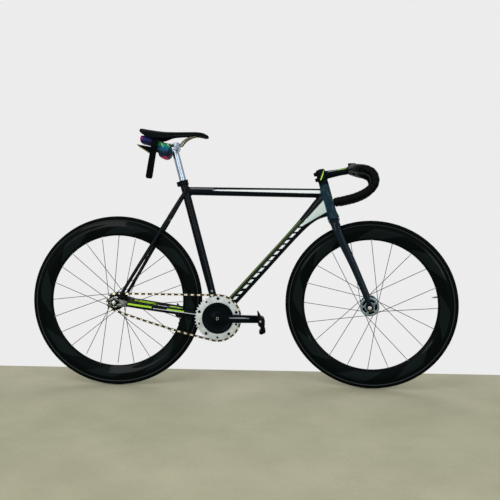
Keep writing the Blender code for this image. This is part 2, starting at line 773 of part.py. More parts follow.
def build_chain(pins, finish):
    """Inner and outer links in turn: two flat plates each, and a roller on every pin."""
    inner_face = CHAIN_INNER_WIDTH / 2
    plates, rollers = bmesh.new(), bmesh.new()
    count = len(pins)
    tip, shoulder = PITCH / 2 + PLATE_OVERHANG, PITCH / 2 - 0.0008
    outline = [(-tip, 0.0), (-shoulder, -PLATE_HALF_HEIGHT), (shoulder, -PLATE_HALF_HEIGHT),
               (tip, 0.0), (shoulder, PLATE_HALF_HEIGHT), (-shoulder, PLATE_HALF_HEIGHT)]
    roller = arc(0.0, 0.0, ROLLER_RADIUS, -90.0, 270.0 - 360.0 / ROLLER_SIDES, ROLLER_SIDES)
    end, half = PITCH / 2 + 0.0030, 0.94 * PLATE_HALF_HEIGHT
    inner_outline = [(-end, -half), (end, -half), (end, half), (-end, half)]
    for i, pin in enumerate(pins):
        ahead, behind = pins[(i + 1) % count], pins[i - 1]
        heading = ahead - pin
        middle = Matrix.Translation((pin + ahead) / 2)
        link = middle @ turn_y(-math.atan2(heading.z, heading.x))
        inside = i % 2 == 0
        near = inner_face if inside else inner_face + PLATE_THICKNESS
        shape = inner_outline if inside else outline
        for side in (LEFT, RIGHT):
            low, high = sorted((side * near, side * (near + PLATE_THICKNESS)))
            prism(plates, shape, low, high, link)
        along = ahead - behind
        hinge = Matrix.Translation(pin) @ turn_y(-math.atan2(along.z, along.x))
        prism(rollers, roller, -inner_face, inner_face, hinge)
    matrix = place(y=-CHAIN_LINE)
    chain = add("chain", plates, finish["chain"], None, matrix)
    union = chain.modifiers.new("Union", "BOOLEAN")
    union.operation = "UNION"
    union.solver = "EXACT"
    union.use_self = True
    union.object = guide("roller_guide", rollers, None, matrix)


def build_cog(pins, hub, finish):
    """Cog and lockring on the rear hub, in the wheel's own axes."""
    cog_pin = min(pins, key=lambda pin: pin.x)
    phase = math.atan2(cog_pin.z - REAR_AXLE.z, cog_pin.x - REAR_AXLE.x)
    half = TOOTH_THICKNESS / 2
    bore = circle(0.0, 0.0, flush_bore(CARRIER_RADIUS), 16)
    outline = sprocket_outline(COG_TEETH, Vector(), phase)
    add("cog", plate(outline, [bore], -CHAIN_LINE - half, -CHAIN_LINE + half), finish["black"], hub)
    face = CHAIN_LINE + half + GAP
    ring = washer(flush_bore(CARRIER_RADIUS), CARRIER_RADIUS + 0.0045, face, face + 0.0040, 16)
    add("cog_lockring", ring, finish["steel"], hub, ALONG_Y @ Matrix.Rotation(math.pi, 4, "X"))


def flush_bore(radius):
    """Corner radius of a 16-sided bore that clears a round piece of this radius."""
    return (radius + GAP) / math.cos(math.pi / 16)


def build_chainring(pins, cranks, finish):
    """Toothed silver ring with windows, bolted behind the right crank's disc."""
    ring_pin = max(pins, key=lambda pin: pin.x)
    phase = math.atan2(ring_pin.z - BRACKET.z, ring_pin.x - BRACKET.x)
    outline = sprocket_outline(RING_TEETH, Vector(), phase)
    holes = [circle(0.0, 0.0, RING_BORE, 16)]
    for i in range(RING_WINDOWS):
        a = 360.0 * (i + 0.5) / RING_WINDOWS
        x, z = WINDOW_RADIUS * math.cos(math.radians(a)), WINDOW_RADIUS * math.sin(math.radians(a))
        size = 0.0052 if i % 2 == 0 else 0.0036
        holes.append(arc(x, z, size, a, a + 270.0, 4))
    for x, z in ring_bolt_places():
        holes.append(circle(x, z, BOSS_RADIUS + 2 * GAP, 6))
    half = TOOTH_THICKNESS / 2
    add("chainring", plate(outline, holes, -CHAIN_LINE - half, -CHAIN_LINE + half),
        finish["silver"], cranks)


def ring_bolt_places():
    angles = [2 * math.pi * (i + 0.5) / RING_BOLTS for i in range(RING_BOLTS)]
    return [(RING_BOLT_CIRCLE * math.cos(a), RING_BOLT_CIRCLE * math.sin(a)) for a in angles]


def arm_outline(way):
    """Side view of a crank arm, tapering from its boss to the round pedal eye."""
    half, eye = CRANK_WIDTH / 2, CRANK_EYE_RADIUS
    end = way * CRANK_LENGTH
    turn = 0.0 if way > 0 else 180.0
    boss = arc(0.0, 0.0, half, turn + 90.0, turn + 270.0, 7)
    tip = arc(end, 0.0, eye, turn - 80.0, turn + 80.0, 7)
    return boss + tip


def build_cranks(cranks, finish):
    """Spindle, arms and pedal spindles, which turn together about the bracket's axis."""
    face = CRANK_ARM_OUTER
    back = CHAIN_LINE + TOOTH_THICKNESS / 2 + GAP
    spindle = rod(SPINDLE_RADIUS, GAP - back, CRANK_ARM_INNER - GAP, 16)
    add("crank_spindle", spindle, finish["steel"], cranks, ALONG_Y)
    hole = PEDAL_SPINDLE_RADIUS + GAP
    left_hole = circle(-CRANK_LENGTH, 0.0, hole, 10)
    right_hole = circle(CRANK_LENGTH, 0.0, hole, 10)
    left = plate(arm_outline(-1), [left_hole], CRANK_ARM_INNER, face)
    add("crank_left", left, finish["black"], cranks, smooth=50.0)
    right = plate(arm_outline(1), [right_hole], -face, -CRANK_ARM_INNER)
    arm = add("crank_right", right, finish["black"], cranks, smooth=50.0)
    disc = rod(CRANK_DISC_RADIUS, back, CRANK_ARM_INNER + 0.0010, 28)
    flipped = ALONG_Y @ Matrix.Rotation(math.pi, 4, "X")
    bosses = bmesh.new()
    for x, z in ring_bolt_places():
        prism(bosses, circle(x, z, BOSS_RADIUS, 6), -back - 0.0010, -CHAIN_LINE + 0.0030)
    fuse(arm, guide("disc_guide", disc, cranks, flipped), guide("boss_guide", bosses, cranks))
    for side, word in ((LEFT, "left"), (RIGHT, "right")):
        ends = sorted((side * (CRANK_ARM_INNER + 0.001), side * (face + PEDAL_WIDTH - 0.004)))
        matrix = place(x=-side * CRANK_LENGTH) @ ALONG_Y
        pin = rod(PEDAL_SPINDLE_RADIUS, *ends, 10)
        add("pedal_spindle_" + word, pin, finish["steel"], cranks, matrix)


def build_bracket_cups(finish):
    """A threaded cup from each side of the shell, with a flange outside it."""
    outer = BRACKET_BORE - GAP
    inner = SPINDLE_RADIUS + RUNNING_GAP
    for side, word in ((LEFT, "left"), (RIGHT, "right")):
        face = BRACKET_WIDTH / 2
        deep, lip = face - 0.016, face + GAP
        profile = [(inner, deep), (outer, deep), (outer, lip), (BRACKET_RADIUS, lip),
                   (BRACKET_RADIUS, lip + 0.0035), (inner, lip + 0.0035)]
        flip = Matrix() if side == RIGHT else Matrix.Rotation(math.pi, 4, "X")
        matrix = Matrix.Translation(BRACKET) @ Matrix.Rotation(math.pi / 2, 4, "X") @ flip
        add("bottom_bracket_cup_" + word, turned(profile, 14, True), finish["steel"], None, matrix)


def pedal_outline():
    """Side view of a clipless pedal that hangs tail down, round its spindle."""
    return [(-0.0125, 0.0340), (-0.0060, 0.0280), (0.0020, 0.0165), (0.0125, 0.0130),
            (0.0165, 0.0050), (0.0165, -0.0200), (0.0205, -0.0350), (0.0200, -0.0430),
            (0.0130, -0.0465), (0.0060, -0.0510), (-0.0030, -0.0480), (-0.0040, -0.0400),
            (0.0010, -0.0340), (0.0020, -0.0240), (-0.0080, -0.0140), (-0.0110, 0.0020),
            (-0.0105, 0.0140)]


def build_pedal(side, pivot, finish):
    word = "left" if side == LEFT else "right"
    bore = circle(0.0, 0.0, PEDAL_SPINDLE_RADIUS + RUNNING_GAP, 10)
    near = CRANK_ARM_OUTER + RUNNING_GAP
    low, high = sorted((side * near, side * (near + PEDAL_WIDTH)))
    add("pedal_" + word, plate(pedal_outline(), [bore], low, high), finish["plastic"], pivot,
        smooth=60.0)


# Cockpit, on axes that turn with the steerer
def build_fork(steering, finish):
    """Steerer, crown and two straight blades with open ends, as one moulded piece."""
    shank = [(STEERER_RADIUS, STEM_BASE + STEM_HEIGHT - 0.002), (STEERER_RADIUS, -0.004)]
    fork = add("fork", turned(shank[::-1], 12), finish["fork"], steering)
    half = HEAD_TUBE_BASE_RADIUS
    crown = skin(bmesh.new(), [
        oval(Vector((0.0, 0.0, height)), Vector((0.0, 0.0, 1.0)), width, depth, 10, 2.2)
        for height, width, depth in ((-CROWN_HEIGHT, 1.50 * half, 0.74 * half),
                                     (-0.60 * CROWN_HEIGHT, 1.48 * half, 0.86 * half),
                                     (-0.25 * CROWN_HEIGHT, 1.15 * half, 0.97 * half),
                                     (0.0, 0.97 * half, 0.97 * half))])
    parts = [guide("crown_guide", crown, steering)]
    inner = FRONT_SPACING / 2
    tab_top = -FORK_LENGTH + 0.028
    for side, word in ((LEFT, "left"), (RIGHT, "right")):
        tab_y = inner + 0.0035
        places = ((0.001, 0.0240, -0.010, 0.0150), (0.0020, 0.0325, -0.034, 0.0170),
                  (0.0110, 0.0365, -0.107, 0.0160), (0.0260, 0.0440, -0.200, 0.0140),
                  (FORK_RAKE + 0.001, tab_y + 0.0005, tab_top, 0.0100))
        stations = [(Vector((x, side * y, z)), width, depth)
                    for (x, y, z, width), depth in zip(places, BLADE_DEPTHS)]
        parts.append(guide("blade_guide_" + word, tube(stations, 8, 2.2), steering))
        slot = (FRONT_AXLE_RADIUS + GAP) / math.cos(math.pi / 8)
        x, z = FORK_RAKE, -FORK_LENGTH
        outline = ([(x + 0.0080, tab_top + 0.010), (x - 0.0080, tab_top + 0.010),
                    (x - 0.0125, z + 0.004), (x - 0.0115, z - 0.0090), (x - slot, z - 0.0110)]
                   + arc(x, z, slot, 180.0, 0.0, 5)
                   + [(x + slot, z - 0.0110), (x + 0.0115, z - 0.0090), (x + 0.0125, z + 0.004)])
        low, high = sorted((side * inner, side * (inner + DROPOUT_THICKNESS)))
        parts.append(guide("fork_end_guide_" + word, plate(outline, [], low, high), steering))
    fuse(fork, *parts)


def build_headset(steering, frame_axis, finish):
    bore = flush_bore(STEERER_RADIUS)
    low = washer(bore, LOWER_BEARING_RADIUS, GAP, GAP + BEARING_WIDTH, 16)
    add("headset_bearing_lower", low, finish["steel"], frame_axis)
    top = HEAD_TUBE_TOP
    high = washer(bore, BEARING_RADIUS, top - BEARING_WIDTH, top, 16)
    add("headset_bearing_upper", high, finish["steel"], frame_axis)
    base = top + GAP
    cone = [(bore, base), (HEAD_TUBE_TOP_RADIUS, base), (HEAD_TUBE_TOP_RADIUS, base + 0.004),
            (STEERER_RADIUS + STEM_WALL, base + COVER_HEIGHT), (bore, base + COVER_HEIGHT)]
    add("headset_cover", turned(cone, 16, True), finish["black"], steering)
    cap = STEM_BASE + STEM_HEIGHT + GAP
    rim = STEERER_RADIUS + 0.5 * STEM_WALL
    lid = [(rim, cap), (rim, cap + 0.6 * TOP_CAP_THICKNESS), (STEERER_RADIUS, cap + TOP_CAP_THICKNESS),
           (0.0045, cap + TOP_CAP_THICKNESS), (0.0045, cap + TOP_CAP_THICKNESS + 0.0030)]
    add("headset_top_cap", turned(lid, 12), finish["black"], steering)


def bar_centre():
    """Where the handlebar's axis crosses the bicycle's middle plane, on the steering axes."""
    drop = math.radians(STEM_DROP_ANGLE)
    return Vector((STEM_LENGTH * math.cos(drop), 0.0, STEM_MIDDLE - STEM_LENGTH * math.sin(drop)))


def build_stem(steering, finish):
    """Forged stem: a sleeve on the steerer, a tapering arm and the back half of the bar clamp."""
    outer = STEERER_RADIUS + STEM_WALL
    top = STEM_BASE + STEM_HEIGHT
    stem = add("stem", rod(outer, STEM_BASE, top, 14), finish["black"], steering, smooth=40.0)
    bar, drop = bar_centre(), math.radians(STEM_DROP_ANGLE)
    root = Vector((0.0, 0.0, STEM_MIDDLE))
    arm = tube([(root, 0.036, 0.036), (root.lerp(bar, 0.28), 0.031, 0.031),
                (root.lerp(bar, 0.62), 0.029, 0.0265), (bar, 0.036, 0.030)], 10, 2.6)
    clamp_radius = BAR_CLAMP_RADIUS + STEM_WALL
    bar_matrix = Matrix.Translation(bar) @ ALONG_Y
    barrel = rod(clamp_radius, -STEM_WIDTH / 2, STEM_WIDTH / 2, 14)
    ears = bmesh.new()
    for height in stem_bolt_heights():
        prism(ears, [(-outer - 0.0075, height - 0.0055), (-outer + 0.0030, height - 0.0065),
                     (-outer + 0.0030, height + 0.0065), (-outer - 0.0075, height + 0.0055)],
              -0.0110, 0.0110)
    fuse(stem, guide("stem_arm_guide", arm, steering),
         guide("stem_barrel_guide", barrel, steering, bar_matrix),
         guide("stem_ear_guide", ears, steering))
    bore = rod(flush_bore(STEERER_RADIUS), STEM_BASE - 0.01, top + 0.01, 16)
    bar_bore = rod(flush_bore(BAR_CLAMP_RADIUS), -0.05, 0.05, 16)
    front = bmesh.new()
    reach = 2 * clamp_radius
    prism(front, [(0.0020, -reach), (reach, -reach), (reach, reach), (0.0020, reach)], -0.05, 0.05)
    split = bmesh.new()
    prism(split, [(-outer - 0.020, STEM_BASE - 0.01), (-outer + 0.010, STEM_BASE - 0.01),
                  (-outer + 0.010, top + 0.01), (-outer - 0.020, top + 0.01)], -0.0010, 0.0010)
    bolt_holes = bmesh.new()
    for height in stem_bolt_heights():
        prism(bolt_holes, circle(-outer - 0.0030, height, 0.0025 + 2 * GAP, 6), -0.02, 0.02)
    cut(stem, guide("steerer_bore_guide", bore, steering),
        guide("bar_bore_guide", bar_bore, steering, bar_matrix),
        guide("faceplate_guide", front, steering, Matrix.Translation(bar) @ turn_y(drop)),
        guide("stem_slot_guide", split, steering),
        guide("stem_bolt_guide", bolt_holes, steering))

    outline = (arc(0.0, 0.0, clamp_radius, -72.0, 72.0, 9)
               + [(0.0070, clamp_radius + 0.0035), (0.0020 + GAP, clamp_radius + 0.0035)]
               + arc(0.0, 0.0, flush_bore(BAR_CLAMP_RADIUS), 82.0, -82.0, 9)
               + [(0.0020 + GAP, -clamp_radius - 0.0035), (0.0070, -clamp_radius - 0.0035)])
    face = plate(outline, [], -STEM_WIDTH / 2, STEM_WIDTH / 2)
    add("stem_faceplate", face, finish["black"], steering, Matrix.Translation(bar) @ turn_y(drop),
        smooth=40.0)
    for height, word in zip(stem_bolt_heights(), ("lower", "upper")):
        bolt = turned([(0.0025, -0.0105), (0.0025, 0.0110 + GAP), (0.0042, 0.0110 + GAP),
                       (0.0042, 0.0150)], 6)
        matrix = place(x=-outer - 0.0030, z=height) @ Matrix.Rotation(math.pi / 2, 4, "X")
        add("stem_bolt_" + word, bolt, finish["steel"], steering, matrix)


def stem_bolt_heights():
    return (STEM_MIDDLE - 0.29 * STEM_HEIGHT, STEM_MIDDLE + 0.29 * STEM_HEIGHT)


def bar_path(side):
    """Half of the handlebar's middle line, from the stem out to the end of the drop."""
    width, reach, drop = side * BAR_HALF_WIDTH, BAR_REACH, BAR_DROP
    shape = ((0.0, 0.0, 0.0), (0.0, 0.14, 0.0), (0.0, 0.29, 0.0), (0.055, 0.50, -0.010),
             (0.17, 0.69, -0.024), (0.36, 0.855, -0.045), (0.64, 0.955, -0.085),
             (0.89, 0.99, -0.185), (1.0, 1.0, -0.37), (0.92, 1.0, -0.553),
             (0.667, 1.003, -0.712), (0.24, 1.005, -0.85), (-0.22, 1.01, -0.937),
             (-0.655, 1.013, -1.0))
    return [Vector((x * reach, y * width, z * drop)) for x, y, z in shape]


def build_handlebar(bar_axes, finish):
    """Round drop bar, swollen in the clamp, wound with lapped tape and plugged at both ends."""
    right, left = bar_path(RIGHT), bar_path(LEFT)
    path = right[::-1] + left[1:]
    middle = len(right) - 1
    radii = [BAR_CLAMP_RADIUS if abs(i - middle) < 2 else BAR_RADIUS for i in range(len(path))]
    rings = round_rings(path, headings(path), radii, 8)
    add("handlebar", skin(bmesh.new(), rings), finish["black"], bar_axes)
    for side, word in ((LEFT, "left"), (RIGHT, "right")):
        whole = bar_path(side)
        bore = (BAR_RADIUS + GAP) / math.cos(math.pi / 8)
        inner = swept_rings(whole, bore, 8)[TAPE_START:]
        tape = skin(bmesh.new(), tape_rings(whole) + inner[::-1], True)
        add("bar_tape_" + word, tape, finish["tape"], bar_axes)
        end, along = whole[-1], headings(whole)[-1]
        cap = turned([(0.0135, GAP), (0.0140, 0.0020), (0.0105, 0.0050)], 8)
        facing = Vector((0.0, 0.0, 1.0)).rotation_difference(along).to_matrix().to_4x4()
        add("bar_plug_" + word, cap, finish["plastic"], bar_axes, Matrix.Translation(end) @ facing)


def tape_rings(path):
    """Outer rings of the tape: each turn rises from the bar's own station and laps the next."""
    directions = headings(path)
    centres, facing, radii = [path[0]], [directions[0]], [BAR_RADIUS]
    for i in range(TAPE_START, len(path) - 1):
        for share, ridge in ((0.0, 0.0), (TAPE_LAP, TAPE_RIDGE)):
            centres.append(path[i].lerp(path[i + 1], share))
            facing.append(directions[i].lerp(directions[i + 1], share).normalized())
            radii.append(BAR_RADIUS + TAPE_THICKNESS + ridge)
    centres.append(path[-1])
    facing.append(directions[-1])
    radii.append(BAR_RADIUS + TAPE_THICKNESS)
    return round_rings(centres, facing, radii, 8)[1:]


# Seat, on axes that slide along the seat tube; the saddle's own are level, at its clamp
def rail_path():
    """The wire's right half, from its rear socket to the bend under the nose."""
    length, height, spread = SADDLE_LENGTH, SADDLE_HEIGHT, RAIL_SPREAD
    shape = ((-0.390, 1.0, 0.820), (-0.328, 1.0, 0.664), (-0.236, 1.0, 0.419), (-0.098, 1.0, 0.182),
             (0.082, 1.0, 0.160), (0.126, 0.93, 0.327), (0.175, 0.72, 0.524), (0.245, 0.43, 0.680),
             (0.296, 0.32, 0.736), (0.322, 0.0, 0.750))
    return [Vector((x * length, -y * spread, z * height)) for x, y, z in shape]


def rail_form(grow=0.0):
    half = rail_path()
    path = half + [Vector((p.x, -p.y, p.z)) for p in half[-2::-1]]
    return skin(bmesh.new(), swept_rings(path, RAIL_RADIUS + grow, 6))


def clamp_outline():
    low, high, half = -0.0120, RAIL_RADIUS + 0.0135, 0.0110
    return [(-0.6 * half, low), (0.6 * half, low), (half, high), (-half, high)]


def build_seatpost(post_axes, saddle_axes, finish):
    """Hollow post with a barrel across its top, and the bolted clamp that grips the rails."""
    hollow = POST_RADIUS - POST_WALL
    post = add("seatpost", rod(POST_RADIUS, -POST_INSERTED, POST_EXPOSED - 0.004, 16),
               finish["silver"], post_axes)
    bore = rod(hollow, -POST_INSERTED - 0.01, POST_EXPOSED - 0.030, 16)
    half = RAIL_SPREAD - RAIL_RADIUS - 0.0025
    middle = place(x=CLAMP_OFFSET)
    barrel = rod(POST_HEAD_RADIUS, -half, half, 12)
    neck = bmesh.new()
    prism(neck, [(-0.0100, -0.0180), (0.0080, -0.0150), (CLAMP_OFFSET + 0.0060, 0.0060),
                 (CLAMP_OFFSET - 0.0070, 0.0080)], -0.75 * half, 0.75 * half)
    bolt_hole = rod(CLAMP_BOLT_RADIUS + 2 * GAP, -0.05, 0.05, 8)
    fuse(post, guide("post_barrel_guide", barrel, saddle_axes, middle @ ALONG_Y),
         guide("post_neck_guide", neck, saddle_axes))
    cut(post, guide("post_hollow_guide", bore, post_axes),
        guide("post_bolt_guide", bolt_hole, saddle_axes, middle @ ALONG_Y))
    clamp = add("saddle_clamp", rod(CLAMP_BOLT_RADIUS, -half - 0.016, half + 0.016, 8),
                finish["black"], saddle_axes, middle @ ALONG_Y)
    cheeks = bmesh.new()
    for side in (LEFT, RIGHT):
        low, high = sorted((side * (half + GAP), side * (half + GAP + 0.0120)))
        prism(cheeks, clamp_outline(), low, high)
    fuse(clamp, guide("clamp_cheek_guide", cheeks, saddle_axes, middle))
    cut(clamp, guide("rail_guide", rail_form(GAP), saddle_axes))


def saddle_sections():
    """Share of the length from the tail, half width in shares of the width, and the heights
    of the crown and of the skirt in shares of the skirt's depth."""
    return ((0.000, 0.340, 0.361, 0.083), (0.040, 0.430, 0.333, -0.222),
            (0.090, 0.480, 0.250, -0.528), (0.180, 0.500, 0.111, -0.833),
            (0.340, 0.405, -0.008, -1.000), (0.480, 0.262, -0.008, -0.764),
            (0.630, 0.182, 0.014, -0.514), (0.810, 0.149, 0.042, -0.431),
            (0.905, 0.141, -0.069, -0.597), (0.965, 0.114, -0.264, -0.708),
            (1.000, 0.055, -0.458, -0.653))


def saddle_line(section, drop, shrink, count=7):
    """Points across the saddle: flat crown, round shoulders and drawn-in skirts."""
    share, width, crown, skirt = section
    half = width * SADDLE_WIDTH - shrink
    crown, skirt = crown * SKIRT_DEPTH, skirt * SKIRT_DEPTH
    line = []
    for i in range(count):
        c = math.cos(math.pi * i / (count - 1))
        y = half * c * (1.0 - 0.06 * abs(c) ** 8)
        z = crown - (crown - skirt) * abs(c) ** 3 - drop * (1.0 - c ** 4)
        line.append(Vector((SADDLE_SETBACK + SADDLE_LENGTH * (share - 0.5), y, SADDLE_HEIGHT + z)))
    return line


def saddle_sheet(sections, drop, thickness, shrink):
    """A bent sheet this far under the saddle's surface, its facets split alike on both sides."""
    form = bmesh.new()
    skins = []
    for down, tuck in ((drop, shrink), (drop + thickness, shrink + SKIRT_THICKNESS)):
        lines = [saddle_line(section, down, tuck) for section in sections]
        skins.append([[form.verts.new(point) for point in line] for line in lines])
    for lines in skins:
        for near, far in zip(lines, lines[1:]):
            last = len(near) - 1
            for k in range(last):
                if k < last / 2:
                    form.faces.new((near[k], near[k + 1], far[k + 1]))
                    form.faces.new((near[k], far[k + 1], far[k]))
                else:
                    form.faces.new((near[k], near[k + 1], far[k]))
                    form.faces.new((near[k + 1], far[k + 1], far[k]))
    over, under = skins
    for k in (0, -1):
        for j in range(len(over) - 1):
            form.faces.new((over[j][k], over[j + 1][k], under[j + 1][k], under[j][k]))
    for j in (0, -1):
        for k in range(len(over[j]) - 1):
            form.faces.new((over[j][k], over[j][k + 1], under[j][k + 1], under[j][k]))
    return form


def socket_form():
    """Blocks under the shell that the rails' ends and the bend at the nose bear against."""
    form = bmesh.new()
    rear, bend = rail_path()[0], rail_path()[-1]
    top = SADDLE_HEIGHT - CUSHION_THICKNESS - SHELL_THICKNESS
    size = RAIL_RADIUS + 0.0010
    back = rear.x - 2 * GAP
    for side in (LEFT, RIGHT):
        low, high = sorted((side * (RAIL_SPREAD - size), side * (RAIL_SPREAD + size)))
        prism(form, [(back - 0.0080, rear.z), (back - 0.0025, rear.z - size),
                     (back - 0.0025, top + 0.0050), (back - 0.0080, top + 0.0060)], low, high)
    front = bend.x + RAIL_RADIUS + GAP
    prism(form, [(front, bend.z - size), (front + 0.0060, bend.z), (front + 0.0060, top - 0.0010),
                 (front, top - 0.0005)], -0.0060, 0.0060)
    return form


def build_saddle(saddle_axes, finish):
    cushion = saddle_sheet(saddle_sections(), 0.0, CUSHION_THICKNESS, 0.0)
    add("saddle_cushion", cushion, finish["cover"], saddle_axes, smooth=60.0)
    under = CUSHION_THICKNESS + GAP
    sheet = saddle_sheet(saddle_sections()[1:-1], under, SHELL_THICKNESS, SKIRT_THICKNESS + GAP)
    shell = add("saddle_shell", sheet, finish["plastic"], saddle_axes, smooth=60.0)
    fuse(shell, guide("socket_guide", socket_form(), saddle_axes))
    add("saddle_rails", rail_form(), finish["steel"], saddle_axes)


def bag_sections():
    """Top and bottom of the bag along its length, in shares of it, and its half width."""
    return ((0.000, 0.380, 0.000, 0.250, 0.30), (0.045, 0.445, 0.025, 0.190, 0.43),
            (0.170, 0.440, 0.140, 0.120, 0.48), (0.285, 0.395, 0.250, 0.060, 0.49),
            (0.325, 0.340, 0.290, 0.040, 0.47), (0.525, 0.245, 0.475, -0.105, 0.45),
            (0.565, 0.245, 0.505, -0.250, 0.47), (0.680, 0.220, 0.580, -0.380, 0.49),
            (0.880, 0.100, 0.770, -0.475, 0.49), (0.980, -0.065, 0.930, -0.420, 0.43),
            (1.000, -0.195, 0.985, -0.310, 0.30))


def build_bag(saddle_axes, finish):
    """Two-lobed bag hung from the rails, and the strap round its waist with a loose end."""
    start = BAG_START
    rings = []
    for top_x, top_z, low_x, low_z, width in bag_sections():
        top = Vector((start + top_x * BAG_LENGTH, 0.0, top_z * BAG_DEPTH))
        low = Vector((start + low_x * BAG_LENGTH, 0.0, low_z * BAG_DEPTH))
        middle, up = (top + low) / 2, (top - low) / 2
        across = Vector((0.0, width * BAG_WIDTH, 0.0))
        ring = []
        for k in range(12):
            a = 2 * math.pi * (k + 0.5) / 12
            c, s = math.cos(a), math.sin(a)
            ring.append(middle + up * math.copysign(abs(s) ** 0.8, s)
                        + across * math.copysign(abs(c) ** 0.8, c))
        rings.append(ring)
    bag = add("saddle_bag", skin(bmesh.new(), rings), finish["bag"], saddle_axes, smooth=50.0)
    cut(bag, guide("bag_rail_guide", rail_form(GAP), saddle_axes))

    half_y, half_z = 0.50 * BAG_WIDTH, STRAP_LOOP_HEIGHT / 2
    loop = []
    for k in range(16):
        a = 2 * math.pi * (k + 0.5) / 16
        loop.append((math.copysign(abs(math.cos(a)) ** 0.6, math.cos(a)),
                     math.copysign(abs(math.sin(a)) ** 0.6, math.sin(a))))
    rings = []
    for thick, x in ((0.0, -0.5), (STRAP_THICKNESS, -0.5), (STRAP_THICKNESS, 0.5), (0.0, 0.5)):
        rings.append([Vector((x * STRAP_WIDTH, (half_y + thick) * y, (half_z + thick) * z))
                      for y, z in loop])
    matrix = place(start + 0.405 * BAG_LENGTH, 0.0, STRAP_MIDDLE) @ turn_y(math.radians(8.7))
    strap = add("bag_strap", skin(bmesh.new(), rings, True), finish["strap"], saddle_axes, matrix,
                smooth=40.0)
    side = -half_y - STRAP_THICKNESS
    ends = bmesh.new()
    prism(ends, [(-STRAP_WIDTH / 2, 0.0), (STRAP_WIDTH / 2, 0.0), (0.47 * STRAP_WIDTH, -STRAP_TAIL),
                 (-0.20 * STRAP_WIDTH, -STRAP_TAIL - 0.0040), (-0.47 * STRAP_WIDTH, -STRAP_TAIL + 0.0060)],
          side - 0.0002, side + STRAP_THICKNESS - 0.0002)
    low = -half_z - STRAP_THICKNESS
    prism(ends, [(0.0, low + 0.0010), (-STRAP_END, 0.0), (-STRAP_END - 0.0010, 0.0045),
                 (-0.0050, low + 0.0060)],
          -STRAP_END_INSET - STRAP_WIDTH, -STRAP_END_INSET)
    fuse(strap, guide("strap_end_guide", ends, saddle_axes, matrix))


def main():
    clear_scene()
    finish = make_finishes()
    frame_axis = empty("steering_axis", Matrix.Translation(CROWN) @ turn_y(-HEAD_TILT))
    steering = empty("steering", Matrix.Rotation(math.radians(-STEER_AT_REST), 4, "Z"), frame_axis)
    level = turn_y(HEAD_TILT)
    front_hub = empty("front_wheel", place(FORK_RAKE, 0.0, -FORK_LENGTH) @ level, steering)
    bar_axes = empty("handlebar_axes", Matrix.Translation(bar_centre()) @ level, steering)
    rear_hub = empty("rear_wheel", Matrix.Translation(REAR_AXLE))
    cranks = empty("cranks", Matrix.Translation(BRACKET))
    pins = chain_pins()

    build_frame(finish)
    build_wheel("front", front_hub, FRONT_SPACING, FRONT_SPOKES, FRONT_FLANGE_RADIUS,
                FRONT_AXLE_RADIUS, finish)
    build_axle("front", front_hub, FRONT_SPACING, DROPOUT_THICKNESS, FRONT_AXLE_RADIUS, finish)
    build_wheel("rear", rear_hub, REAR_SPACING, REAR_SPOKES, REAR_FLANGE_RADIUS,
                REAR_AXLE_RADIUS, finish, CARRIER_RADIUS)
    build_axle("rear", rear_hub, REAR_SPACING, DROPOUT_THICKNESS, REAR_AXLE_RADIUS, finish)
    build_cog(pins, rear_hub, finish)
    build_chain(pins, finish)
    build_chainring(pins, cranks, finish)
    build_cranks(cranks, finish)
    build_bracket_cups(finish)
    for side, word in ((LEFT, "left"), (RIGHT, "right")):
        pivot = empty("pedal_pivot_" + word, place(x=-side * CRANK_LENGTH), cranks)
        build_pedal(side, pivot, finish)
    build_fork(steering, finish)
    build_headset(steering, frame_axis, finish)
    build_stem(steering, finish)
    build_handlebar(bar_axes, finish)
    post_axes = empty("seatpost_axes", Matrix.Translation(SEAT_TOP) @ turn_y(-SEAT_TILT))
    saddle_axes = empty("saddle_axes", place(z=POST_EXPOSED) @ turn_y(SEAT_TILT), post_axes)
    build_seatpost(post_axes, saddle_axes, finish)
    build_saddle(saddle_axes, finish)
    build_bag(saddle_axes, finish)


main()
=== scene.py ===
"""Looks for a fixed-gear track bicycle with drop handlebars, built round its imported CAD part."""
import math

import bmesh
import bpy
import numpy as np
from mathutils import Matrix, Vector, noise


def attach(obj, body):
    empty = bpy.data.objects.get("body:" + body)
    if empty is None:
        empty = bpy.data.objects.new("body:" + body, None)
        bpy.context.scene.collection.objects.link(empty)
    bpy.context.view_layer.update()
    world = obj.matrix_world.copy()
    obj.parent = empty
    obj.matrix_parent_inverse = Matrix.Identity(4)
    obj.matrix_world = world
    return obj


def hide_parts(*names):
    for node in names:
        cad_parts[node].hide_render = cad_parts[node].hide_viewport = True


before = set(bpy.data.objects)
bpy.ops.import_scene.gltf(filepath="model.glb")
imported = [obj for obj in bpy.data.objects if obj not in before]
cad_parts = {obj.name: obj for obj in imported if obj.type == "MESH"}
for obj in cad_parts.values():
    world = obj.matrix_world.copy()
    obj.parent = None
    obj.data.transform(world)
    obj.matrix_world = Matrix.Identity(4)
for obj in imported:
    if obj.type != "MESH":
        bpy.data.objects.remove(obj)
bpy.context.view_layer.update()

# Sizes in metres and angles in degrees, mostly as in the CAD part
GAP = 0.0003
WHEEL_RADIUS, WHEELBASE, CHAINSTAY, BRACKET_DROP = 0.334, 0.9954, 0.4023, 0.056
SEAT_ANGLE, HEAD_ANGLE, STEER_AT_REST = 74.5, 73.0, 11.3
FORK_RAKE, FORK_LENGTH = 0.043, 0.3675
HEAD_TUBE_LENGTH, HEADSET_GAP = 0.138, 0.0010
HEAD_TUBE_TOP_RADIUS, HEAD_TUBE_BASE_RADIUS = 0.0190, 0.0235
BEARING_WIDTH, BEARING_RADIUS, LOWER_BEARING_RADIUS = 0.0070, 0.0178, 0.0212
SEAT_TUBE_LENGTH, SEAT_TUBE_RADIUS = 0.546, 0.0159
SEAT_TUBE_BASE_DEPTH, SEAT_TUBE_BASE_WIDTH = 0.0255, 0.0380
